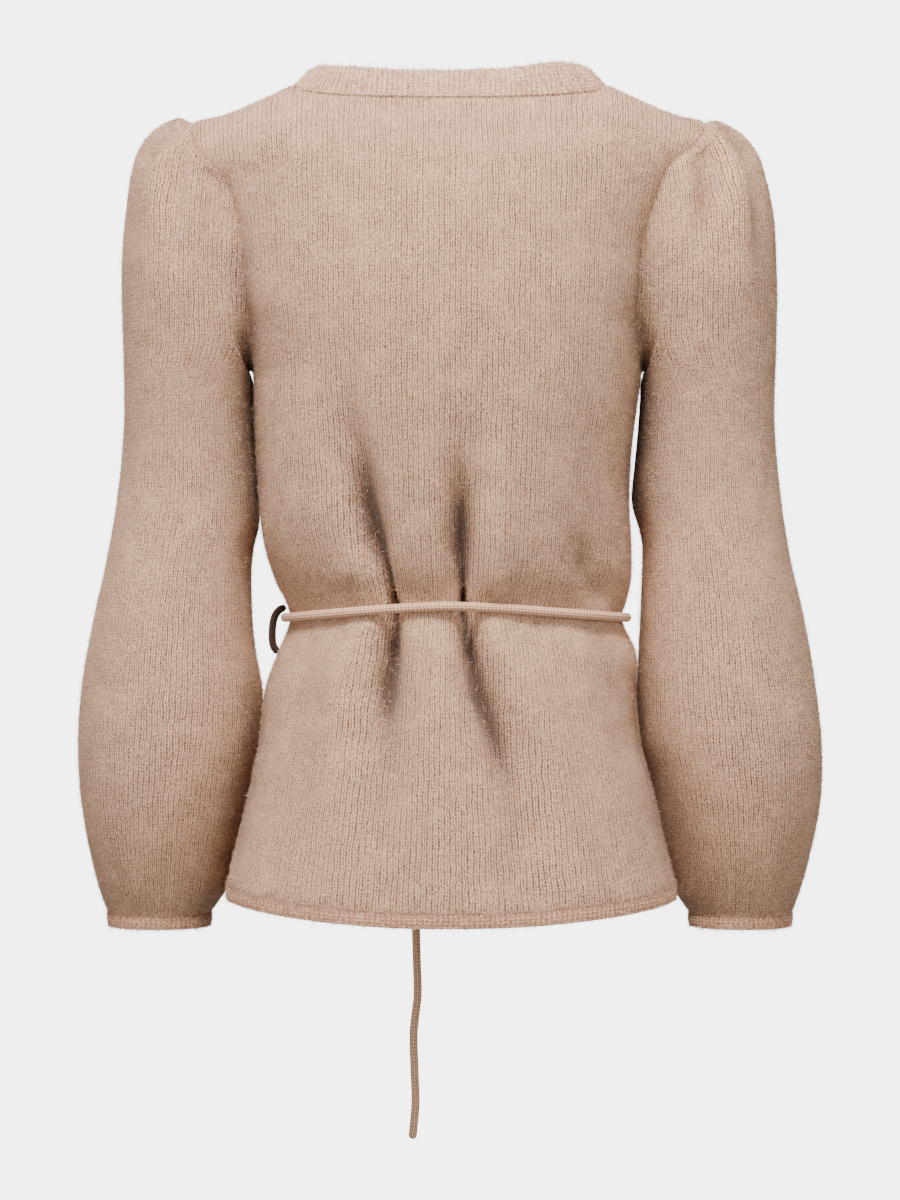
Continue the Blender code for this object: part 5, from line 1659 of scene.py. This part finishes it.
@dataclass
class KnittedCord:
    """A round cord knitted in a narrow tube, with rows of small stitches in its outline."""

    name: str
    route: Route
    radius: float
    around: int = 16
    wales: int = 5
    course: float = 0.0026
    relief: float = 0.05
    ground: float = 0.6
    blunt: float = 0.02

    def parts(self) -> MeshParts:
        """The cord's points and faces."""
        points = self.route.points
        reach = lengths_along(points)
        angle = np.arange(self.around) * TAU / self.around
        first, second = self.route.frames()
        side = np.abs(2 * np.mod(angle[None, :] * self.wales / TAU, 1) - 1)
        rise = np.cos(TAU * (reach[:, None] / self.course + 0.5 * side))
        grooves = np.sin(math.pi * side)
        size = self.radius * (1 + self.relief * (0.5 * rise * grooves + 0.5 * (grooves - self.ground)))
        from_end = np.minimum(reach, reach[-1] - reach)
        cap = np.sqrt(np.clip(1 - np.clip(1 - from_end / self.radius, 0, 1) ** 2, self.blunt, 1))
        size = size * cap[:, None]
        around = (
            np.cos(angle)[None, :, None] * first[:, None] + np.sin(angle)[None, :, None] * second[:, None]
        )
        grid = points[:, None] + around * size[..., None]
        rows, columns = grid.shape[:2]
        stitches = np.stack(np.broadcast_arrays(angle[None, :] * self.radius, reach[:, None]), axis=-1)
        quads = grid_quads(rows, columns, True)
        places = grid_places(stitches, True, TAU * self.radius)
        index = np.arange(rows * columns).reshape(rows, columns)
        ends = [index[0][None, ::-1], index[-1][None]]
        spots = [stitches[0][None, ::-1], stitches[-1][None]]
        return MeshParts(grid.reshape(-1, 3), [quads, *ends], [places, *spots])


@dataclass(frozen=True)
class KnotSizes:
    """The tie's knot: its middle and the winding that it shows."""

    centre: tuple[float, float, float] = (0.0255, -0.1026, -0.3727)
    wide: float = 0.0054
    deep: float = 0.0032
    radius: float = 0.0029
    pitch: float = 0.0058
    turns: float = 2.2
    phase: float = 1.2
    points: int = 34

    def route(self) -> Route:
        """The winding's centreline."""
        turn = np.linspace(-self.turns / 2, self.turns / 2, self.points)
        angle = TAU * turn + self.phase
        line = np.stack([self.wide * np.cos(angle), self.deep * np.sin(angle), -self.pitch * turn], axis=1)
        return Route([tuple(p) for p in line + self.centre], SIZES.cord_step)


@dataclass
class Nap:
    """Short fibres brushed up from the wool, lying mostly downward with some standing off.

    Each is one narrow blade that tapers to its tip.
    """

    cloth: Cloth
    seed: int
    count: int
    longest: float = 0.0085
    shortest: float = 0.0012
    width: float = 0.00034
    sunk: float = 0.0001
    bare_under_painted_shade: float = 0.93
    droop: float = 0.25
    sway: float = 0.25
    least_stand: float = 0.12
    more_stand: float = 0.75

    def parts(self) -> MeshParts:
        """The fibres' points and faces."""
        chance = np.random.default_rng(self.seed)
        points, normals, stitches = self.cloth.points, self.cloth.normals, self.cloth.stitches
        if self.cloth.closed:
            points, normals = (np.concatenate([a, a[:, :1]], axis=1) for a in (points, normals))
            stitches = np.concatenate([stitches, stitches[:, :1] + (SIZES.sleeve_turn, 0)], axis=1)
        across, down = np.diff(points, axis=1)[:-1], np.diff(points, axis=0)[:, :-1]
        areas = np.linalg.norm(np.cross(across, down), axis=-1).ravel()
        # Fewer fibres where shade is painted, so that they don't cover it
        hollow = self.cloth.hollow[:-1, :across.shape[1]].ravel()
        areas = areas * (1 - self.bare_under_painted_shade * np.clip(hollow, 0, 1))
        cell = chance.choice(len(areas), self.count, p=areas / areas.sum())
        r, c = np.divmod(cell, across.shape[1])
        u, v = chance.random((2, self.count, 1))

        def blended(grid: np.ndarray) -> np.ndarray:
            """A grid's values where the fibres stand."""
            low = grid[r, c] * (1 - u) + grid[r, c + 1] * u
            high = grid[r + 1, c] * (1 - u) + grid[r + 1, c + 1] * u
            return low * (1 - v) + high * v

        foot, normal, place = blended(points), unit(blended(normals)), blended(stitches)
        turn = chance.uniform(0, TAU, (self.count, 1))
        side = unit(np.cross(normal, (0.0, 0.0, 1.0)))
        drop = unit(np.cross(side, normal))
        lying = unit(side * np.cos(turn) + drop * (np.sin(turn) + self.droop))
        bend = unit(np.cross(normal, lying))
        length = self.longest * chance.beta(1.4, 3.6, (self.count, 1)) + self.shortest
        stand = self.least_stand + self.more_stand * chance.beta(1.2, 3.2, (self.count, 1))
        half = bend * self.width / 2
        swayed = bend * chance.normal(0, self.sway, (self.count, 1))
        tip = foot + (unit(lying + normal * stand) + swayed) * length
        foot = foot - normal * self.sunk
        blade = np.stack([foot - half, foot + half, tip], axis=1)
        faces = np.arange(self.count * 3).reshape(-1, 3)
        return MeshParts(blade.reshape(-1, 3), [faces], [np.repeat(place[:, None], 3, axis=1)])


class Field:
    """A shader value; arithmetic with it makes Math nodes."""

    def __init__(self, graph: Graph, socket: bpy.types.NodeSocket) -> None:
        """Takes the graph and the output socket that has the value."""
        self.graph = graph
        self.socket = socket

    def math(self, operation: str, *others: Field | float) -> Field:
        """The result of a Math node on this value and the others."""
        return self.graph.math(operation, self, *others)

    def __add__(self, other: Field | float) -> Field:
        """Sum."""
        return self.math("ADD", other)

    __radd__ = __add__

    def __sub__(self, other: Field | float) -> Field:
        """Difference."""
        return self.math("SUBTRACT", other)

    def __rsub__(self, other: Field | float) -> Field:
        """Difference, the other way round."""
        return self.graph.math("SUBTRACT", other, self)

    def __mul__(self, other: Field | float) -> Field:
        """Product."""
        return self.math("MULTIPLY", other)

    __rmul__ = __mul__

    def __truediv__(self, other: Field | float) -> Field:
        """Quotient."""
        return self.math("DIVIDE", other)

    def __pow__(self, other: Field | float) -> Field:
        """Power."""
        return self.math("POWER", other)

    def __abs__(self) -> Field:
        """Size without its sign."""
        return self.math("ABSOLUTE")

    def fract(self) -> Field:
        """What is left above the whole number."""
        return self.math("FRACT")

    def sin(self) -> Field:
        """Sine of an angle in radians."""
        return self.math("SINE")

    def cos(self) -> Field:
        """Cosine of an angle in radians."""
        return self.math("COSINE")

    def least(self, other: Field | float) -> Field:
        """The smaller of two."""
        return self.math("MINIMUM", other)

    def most(self, other: Field | float) -> Field:
        """The larger of two."""
        return self.math("MAXIMUM", other)

    def clipped(self) -> Field:
        """Held between 0 and 1."""
        return self.most(0.0).least(1.0)

    def rising(self, low: float, high: float) -> Field:
        """0 up to low, 1 from high on, and smooth between."""
        t = ((self - low) / (high - low)).clipped()
        return t * t * (3.0 - 2.0 * t)


class Graph:
    """A material's nodes."""

    def __init__(self, name: str) -> None:
        """Makes a material with an empty tree."""
        self.material = bpy.data.materials.new(name)
        self.material.use_nodes = True
        self.tree = self.material.node_tree
        self.tree.nodes.clear()

    def node(
        self, kind: str, settings: dict[str, object] | None = None, **inputs: object
    ) -> bpy.types.Node:
        """Makes a node.

        Args:
            kind: Its type.
            settings: Properties, set first.
            inputs: Values or links for its sockets, by name with _ for a space, or by number as
                in i0.

        Returns:
            The node.
        """
        made = self.tree.nodes.new(kind)
        for name, value in (settings or {}).items():
            setattr(made, name, value)
        for name, value in inputs.items():
            by_number = name[0] == "i" and name[1:].isdigit()
            socket = made.inputs[int(name[1:]) if by_number else name.replace("_", " ")]
            if isinstance(value, Field):
                value = value.socket
            if isinstance(value, bpy.types.NodeSocket):
                self.tree.links.new(value, socket)
            else:
                socket.default_value = value
        return made

    def math(self, operation: str, *values: Field | float) -> Field:
        """The result of a Math node."""
        inputs = {f"i{k}": value for k, value in enumerate(values)}
        return Field(self, self.node("ShaderNodeMath", {"operation": operation}, **inputs).outputs[0])

    def mix(self, share: Field | float, low: object, high: object) -> bpy.types.NodeSocket:
        """A colour between two."""
        made = self.node("ShaderNodeMix", {"data_type": "RGBA"}, i0=share, i6=low, i7=high)
        return made.outputs[2]

    def places(self) -> tuple[bpy.types.NodeSocket, Field, Field]:
        """The place in the knit in metres, as a vector and as its two parts."""
        vector = self.node("ShaderNodeUVMap", {"uv_map": "stitches"}).outputs[0]
        parts = self.node("ShaderNodeSeparateXYZ", None, i0=vector)
        return vector, Field(self, parts.outputs[0]), Field(self, parts.outputs[1])

    def noise(
        self, vector: bpy.types.NodeSocket, scale: float, detail: float = 2.0, rough: float = 0.5
    ) -> Field:
        """A noise of a scale per metre, from 0 to 1."""
        made = self.node(
            "ShaderNodeTexNoise", None, Vector=vector, Scale=scale, Detail=detail, Roughness=rough
        )
        return Field(self, made.outputs[0])

    def stretched(self, vector: bpy.types.NodeSocket, across: float, along: float) -> bpy.types.NodeSocket:
        """The vector scaled in its two directions."""
        made = self.node(
            "ShaderNodeVectorMath", {"operation": "MULTIPLY"}, i0=vector, i1=(across, along, 1.0)
        )
        return made.outputs[0]

    def finish(
        self, colour: object, roughness: object, height: Field | None, depth: float, sheen: float,
        sheen_colour: tuple[float, float, float, float],
    ) -> bpy.types.Material:
        """Links a cloth's surface to the output.

        Args:
            colour: Its base colour.
            roughness: Its roughness.
            height: Its bump from 0 to 1, or None.
            depth: The bump's depth in metres.
            sheen: The sheen's weight.
            sheen_colour: The sheen's tint.

        Returns:
            The material.
        """
        inputs: dict[str, object] = {}
        if height is not None:
            bump = self.node("ShaderNodeBump", None, Strength=1.0, Distance=depth, Height=height)
            inputs["Normal"] = bump.outputs[0]
        shader = self.node(
            "ShaderNodeBsdfPrincipled", None, Base_Color=colour, Roughness=roughness, Sheen_Weight=sheen,
            Sheen_Roughness=0.45, Sheen_Tint=sheen_colour, Specular_IOR_Level=0.15, **inputs,
        )
        self.node("ShaderNodeOutputMaterial", None, Surface=shader.outputs[0])
        return self.material


@dataclass(frozen=True)
class WoolFinish:
    """Brushed stocking stitch: its colours, with painted shade and highlight among them, its gauge and how
    deep its stitches are.
    """

    name: str = "brushed_wool"
    light: Colour = (0.980, 0.600, 0.378, 1.0)
    dark: Colour = (0.340, 0.138, 0.064, 1.0)
    # Painted shade in the holes between the stitches
    hole_shade: Colour = (0.090, 0.038, 0.020, 1.0)
    # deep is painted shade for hollows and grooves, crest a painted highlight for the folds' crests
    deep: Colour = (0.075, 0.034, 0.022, 1.0)
    crest: Colour = (1.000, 0.760, 0.570, 1.0)
    wale: float = 0.0037
    course: float = 0.0023
    depth: float = 0.0016

    def material(self) -> bpy.types.Material:
        """The wool's material."""
        graph = Graph(self.name)
        vector, across, along = graph.places()
        wander = (graph.noise(vector, 60.0) - 0.5) * 0.9
        wale = across / self.wale + wander
        course = along / self.course + (graph.noise(graph.stretched(vector, 1.0, 1.7), 90.0) - 0.5) * 1.6
        side = abs(2.0 * wale.fract() - 1.0)
        loops = (TAU * (course + 0.5 * side)).cos()
        legs = (math.pi * side).sin()
        stitch = legs * (0.80 + 0.20 * loops)
        pits = side.rising(0.50, 0.95) * (0.25 + 0.75 * ((TAU * course).cos() * 0.5 + 0.5) ** 1.5)
        clouds = graph.noise(vector, 42.0, 3.0, 0.6)
        patch = graph.noise(graph.stretched(vector, 1.0, 0.6), 150.0, 2.0, 0.6).rising(0.35, 0.65)
        grain = graph.noise(vector, 640.0, 4.0, 0.8)
        hairs = graph.noise(graph.stretched(vector, 1.0, 0.3), 1300.0, 2.0, 0.7)
        shown = (1.0 - 0.5 * clouds.rising(0.42, 0.68)) * (0.62 + 0.38 * patch)
        mottled = (
            0.66 + 4.4 * (grain - 0.5) + 3.2 * (hairs - 0.5) + 2.10 * (stitch - 0.45) * shown
            + 0.50 * (clouds - 0.5)
        ).clipped()
        base = graph.mix(mottled, self.dark, self.light)
        # Shade painted into the knit's holes
        with_hole_shade = graph.mix((pits * shown).clipped(), base, self.hole_shade)
        # Painted highlight where the painted shading is below 0, painted shade where it is above
        hollow = Field(graph, graph.node("ShaderNodeAttribute", {"attribute_name": "hollow"}).outputs[2])
        with_painted_highlight = graph.mix((hollow * -0.55).clipped(), with_hole_shade, self.crest)
        colour = graph.mix((hollow.clipped() ** 1.1 * 0.93).clipped(), with_painted_highlight, self.deep)
        roughness = 0.82 + 0.15 * grain
        height = 0.9 * stitch * shown + 1.0 * grain + 0.4 * hairs - 0.9 * pits * shown
        return graph.finish(colour, roughness, height, self.depth, 0.20, (1.0, 0.86, 0.76, 1.0))


@dataclass(frozen=True)
class RibFinish:
    """Fine rib: its colours and the size of its stitches."""

    name: str = "rib_knit"
    light: Colour = (0.880, 0.520, 0.325, 1.0)
    dark: Colour = (0.300, 0.125, 0.060, 1.0)
    # A dark line at the band's foot: its linking seam, with the shadow the band casts there painted in
    seam: Colour = (0.120, 0.055, 0.032, 1.0)
    seam_and_shadow_wide: float = 0.0026
    pitch: float = 0.0036
    course: float = 0.0026
    depth: float = 0.0005

    def material(self) -> bpy.types.Material:
        """The rib's material."""
        graph = Graph(self.name)
        vector, along, across = graph.places()
        fuzz = graph.noise(vector, 700.0, 3.0, 0.6)
        crest = 0.5 - 0.5 * (TAU * along / self.pitch).cos()
        side = abs(2.0 * (along / self.pitch).fract() - 1.0)
        loops = (TAU * (across / self.course + 0.6 * side)).cos()
        stitch = crest * (0.7 + 0.3 * loops)
        base = graph.mix((0.75 * stitch + 2.4 * (fuzz - 0.42)).clipped(), self.dark, self.light)
        # The seam line at the band's foot, darkened with a painted shadow
        linked = 1.0 - across.rising(0.4 * self.seam_and_shadow_wide, self.seam_and_shadow_wide)
        base = graph.mix((linked * (0.75 + 0.25 * loops)).clipped(), base, self.seam)
        height = 0.6 * crest * loops + 0.6 * fuzz
        return graph.finish(base, 0.8 + 0.15 * fuzz, height, self.depth, 0.20, (1.0, 0.88, 0.80, 1.0))


@dataclass(frozen=True)
class CordFinish:
    """A finely knitted cord, a little paler than the cloth."""

    name: str = "knitted_cord"
    light: Colour = (1.000, 0.640, 0.430, 1.0)
    dark: Colour = (0.320, 0.145, 0.075, 1.0)
    wales: int = 5
    radius: float = SIZES.cord_radius
    course: float = 0.0026
    depth: float = 0.0004

    def material(self) -> bpy.types.Material:
        """The cord's material."""
        graph = Graph(self.name)
        vector, around, along = graph.places()
        fuzz = graph.noise(vector, 800.0, 3.0, 0.6)
        side = abs(2.0 * (around * (self.wales / (TAU * self.radius))).fract() - 1.0)
        loops = (TAU * (along / self.course + 0.5 * side)).cos()
        stitch = (math.pi * side).sin() * (0.6 + 0.4 * loops)
        base = graph.mix((0.8 * stitch + 0.5 * (fuzz - 0.2)).clipped(), self.dark, self.light)
        height = stitch + 0.5 * fuzz
        return graph.finish(base, 0.8 + 0.15 * fuzz, height, self.depth, 0.25, (1.0, 0.88, 0.80, 1.0))


# The neckbands' rib painted lighter, as it looks where the light from above falls on it
LIT_COLLAR_FINISH = RibFinish("collar_rib", (1.000, 0.720, 0.510, 1.0), (0.520, 0.260, 0.145, 1.0))
# The carrier loop is the same cord painted almost black, for the shade it lies in at the side
SHADED_LOOP_FINISH = CordFinish(
    "carrier_cord", (0.075, 0.038, 0.026, 1.0), (0.022, 0.011, 0.008, 1.0), radius=SIZES.loop_radius
)


@dataclass(frozen=True)
class FibreFinish:
    """The nap's fibres: a little paler than the wool under them."""

    name: str = "wool_fibre"
    light: Colour = (1.000, 0.670, 0.455, 1.0)
    dark: Colour = (0.340, 0.150, 0.075, 1.0)

    def material(self) -> bpy.types.Material:
        """The fibres' material."""
        graph = Graph(self.name)
        vector, _, _ = graph.places()
        tone = graph.noise(vector, 2500.0, 1.0).rising(0.35, 0.65)
        colour = graph.mix(tone, self.dark, self.light)
        return graph.finish(colour, 0.9 - 0.1 * tone, None, 0.0, 0.2, (1.0, 0.9, 0.84, 1.0))


@dataclass(frozen=True)
class StageFinish:
    """The pale, evenly lit floor and backdrop."""

    name: str = "pale_floor"
    colour: Colour = (1.0, 1.0, 1.0, 1.0)
    strength: float = 5.2

    def material(self) -> bpy.types.Material:
        """The floor's material."""
        graph = Graph(self.name)
        glow = graph.node("ShaderNodeEmission", None, Color=self.colour, Strength=self.strength)
        graph.node("ShaderNodeOutputMaterial", None, Surface=glow.outputs[0])
        return graph.material


class Lamp(NamedTuple):
    """A soft square lamp: its place, its size and its power in watts."""

    name: str
    at: tuple[float, float, float]
    size: float
    power: float


@dataclass(frozen=True)
class Studio:
    """The camera at the photograph's angle, the round pale floor, and the soft light."""

    camera_at: tuple[float, float, float] = (0.0, 2.5, -0.3675)
    lens: float = 104.9
    floor: float = -0.800
    reach: float = 9.0
    bend: float = 1.5
    wall_top: float = 9.0
    sides: int = 96
    aim: tuple[float, float, float] = (0.0, 0.0, -0.35)
    world: float = 0.36
    lamps: tuple[Lamp, ...] = (
        Lamp("key", (0.30, 1.4, 2.0), 0.9, 165.0),
        Lamp("fill", (-1.4, 2.1, 0.2), 1.2, 30.0),
        Lamp("left", (1.7, 1.8, -0.4), 1.2, 24.0),
        Lamp("front", (0.6, -1.6, 1.2), 1.2, 18.0),
    )

    def camera(self) -> None:
        """Puts up the camera, level and looking straight at the back."""
        data = bpy.data.cameras.new("camera")
        data.lens = self.lens
        data.sensor_width = 36.0
        made = bpy.data.objects.new("camera", data)
        made.location = self.camera_at
        made.rotation_euler = (math.pi / 2, 0.0, math.pi)
        bpy.context.scene.collection.objects.link(made)
        bpy.context.scene.camera = made

    def backdrop(self) -> None:
        """Lays the round floor, which curves up to a wall all round, farther off than any view."""
        bend = np.linspace(0, math.pi / 2, 13)
        profile = [(0.5, self.floor)]
        profile += [
            (self.reach - self.bend * (1 - math.sin(a)), self.floor + self.bend * (1 - math.cos(a)))
            for a in bend
        ]
        profile.append((self.reach, self.wall_top))
        turn = np.arange(self.sides) * TAU / self.sides
        grid = np.array([
            np.stack([r * np.cos(turn), r * np.sin(turn), np.full(self.sides, z)], axis=1)
            for r, z in profile
        ])
        quads = grid_quads(len(profile), self.sides, True)
        places = grid_places(grid[..., :2], True)
        middle = np.arange(self.sides)[None]
        parts = MeshParts(grid.reshape(-1, 3), [quads, middle], [places, grid[:1, :, :2]])
        made = parts.object("backdrop", StageFinish().material())
        made.visible_diffuse = False
        made.visible_glossy = False
        made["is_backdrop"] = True

    def hang(self, lamp: Lamp) -> None:
        """Hangs a lamp that faces the cardigan."""
        data = bpy.data.lights.new(lamp.name, "AREA")
        data.shape = "SQUARE"
        data.size = lamp.size
        data.energy = lamp.power
        made = bpy.data.objects.new(lamp.name, data)
        made.location = lamp.at
        aim = Vector(self.aim) - Vector(lamp.at)
        made.rotation_euler = aim.to_track_quat("-Z", "Y").to_euler()
        bpy.context.scene.collection.objects.link(made)

    def lights(self) -> None:
        """Puts up the soft light of a white studio."""
        world = bpy.data.worlds.new("studio")
        world.use_nodes = True
        background = world.node_tree.nodes["Background"]
        background.inputs[0].default_value = (1.0, 1.0, 1.0, 1.0)
        background.inputs[1].default_value = self.world
        bpy.context.scene.world = world
        for lamp in self.lamps:
            self.hang(lamp)


@dataclass
class Finishes:
    """The cardigan's materials, made once each."""

    wool: bpy.types.Material = field(default_factory=lambda: WoolFinish().material())
    rib: bpy.types.Material = field(default_factory=lambda: RibFinish().material())
    # The neckbands' rib, painted lighter for the light from above
    lit_collar: bpy.types.Material = field(default_factory=lambda: LIT_COLLAR_FINISH.material())
    cord: bpy.types.Material = field(default_factory=lambda: CordFinish().material())
    # The carrier loop's cord, painted near black for the shade it lies in
    loop: bpy.types.Material = field(default_factory=lambda: SHADED_LOOP_FINISH.material())
    fibre: bpy.types.Material = field(default_factory=lambda: FibreFinish().material())


class Cardigan:
    """The whole cardigan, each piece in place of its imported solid."""

    fibres = {"back": 97000, "front": 40000, "sleeve": 96000, "band": 9000}
    seeds = {"back": 11, "front": 20, "sleeve": 30}

    def __init__(self, sizes: Sizes, finishes: Finishes) -> None:
        """Takes the sizes and the materials."""
        self.sizes = sizes
        self.finishes = finishes
        self.form = BodyForm(sizes)
        self.bands = BandMaker(sizes)

    def place(
        self, parts: MeshParts, node: str, material: bpy.types.Material, slot: str
    ) -> bpy.types.Object:
        """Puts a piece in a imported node's place."""
        made = parts.object(f"{node}_knit", material)
        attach(made, ROOT)
        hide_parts(node)
        return made

    def cords(self) -> None:
        """The tie round the waist, its hanging end, its knot and its carrier loop."""
        s = self.sizes
        tie, end, loop = (
            KnittedCord(name, Route(route, s.cord_step), radius)
            for name, route, radius in (
                ("tie_waist", TIE_ROUTE, s.cord_radius),
                ("tie_end", END_ROUTE, s.cord_radius),
                ("carrier_loop", LOOP_ROUTE, s.loop_radius),
            )
        )
        knot = KnotSizes()
        winding = KnittedCord("tie_knot", knot.route(), knot.radius)
        wound = self.place(winding.parts(), "tie_knot", self.finishes.cord, "cord_tie_knot")
        for cord, finish, far_end, lay, pieces in (
            (tie, self.finishes.cord, "object", "taut", ()),
            (end, self.finishes.cord, "bare", "hanging", (wound,)),
            (loop, self.finishes.loop, "object", "taut", ()),
        ):
            made = self.place(cord.parts(), cord.name, finish, f"cord_{cord.name}")
            2 * cord.radius
            LOG.info("%s is %.4f m long", cord.name, cord.route.length)

    def panel(self, node: str, cloth: Cloth, fibres: int, seed: int) -> None:
        """A panel of brushed wool with its nap.

        Args:
            node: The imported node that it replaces.
            cloth: Its surface.
            fibres: How many fibres its nap has.
            seed: The nap's seed.
        """
        slot = f"wool_{node}"
        cloth = replace(cloth, points=settled(cloth.points, self.sizes))
        made = self.place(Wall(cloth, self.sizes.wall).parts(), node, self.finishes.wool, slot)
        self.nap(cloth, node, slot, fibres, seed)
        rows = lengths_along(cloth.points[:, cloth.points.shape[1] // 2])[-1]
        spans = np.linalg.norm(np.diff(cloth.points, axis=1), axis=-1).sum(axis=1)
        LOG.info("%s: area %.4f, length %.3f, widest %.3f", node, cloth.area(), rows, spans.max())

    def nap(self, cloth: Cloth, node: str, slot: str, fibres: int, seed: int) -> bpy.types.Object:
        """The nap over a piece's outer surface."""
        made = Nap(cloth, seed, fibres).parts().object(f"{node}_nap", self.finishes.fibre)
        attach(made, ROOT)
        return made

    def band(self, node: str, band: RibBand) -> None:
        """A rib with its seams and its nap."""
        slot = f"rib_{node}"
        # Neckbands take the rib painted lighter, for the light from above
        finish = self.finishes.lit_collar if node.startswith("neckband") else self.finishes.rib
        made = self.place(band.parts(), node, finish, slot)
        nap = self.nap(band.surface(), node, slot, self.fibres["band"], len(node))
        LOG.info("%s: length %.3f", node, lengths_along((band.foot + band.free) / 2)[-1])

    def build(self) -> None:
        """Makes every piece."""
        self.cords()
        back = BackPanel(self.form).cloth()
        self.panel("back", back, self.fibres["back"], self.seeds["back"])
        self.band("hem_back", self.bands.hem(back, None))
        self.band("neckband_back", self.bands.neck_back(back))
        for side in Side:
            label = side.label
            front = FrontPanel(self.form, side=side).cloth()
            shown = front.without_last_column()
            self.panel(f"front_{label}", shown, self.fibres["front"], self.seeds["front"] + side)
            self.band(f"hem_{label}", self.bands.hem(front, -1))
            self.band(f"neckband_{label}", self.bands.front(front, side))
            sleeve = Sleeve(self.form, side, back, front).cloth()
            self.panel(f"sleeve_{label}", sleeve, self.fibres["sleeve"], self.seeds["sleeve"] + side)
            self.band(f"cuff_{label}", self.bands.cuff(sleeve))


def corners(box: tuple[Vector, Vector]) -> list[list[float]]:
    """A box's lowest and highest corner as plain lists."""
    return [[float(value) for value in corner] for corner in box]


def main() -> None:
    """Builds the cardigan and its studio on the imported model."""
    logging.basicConfig(level=logging.INFO, format="%(message)s")
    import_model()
    packed = corners(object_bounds())
    studio = Studio()
    studio.camera()
    cardigan = Cardigan(SIZES, Finishes())
    cardigan.build()
    studio.backdrop()
    studio.lights()
    {"packed": packed, "shown": corners(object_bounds())}


if __name__ == "__main__":
    main()
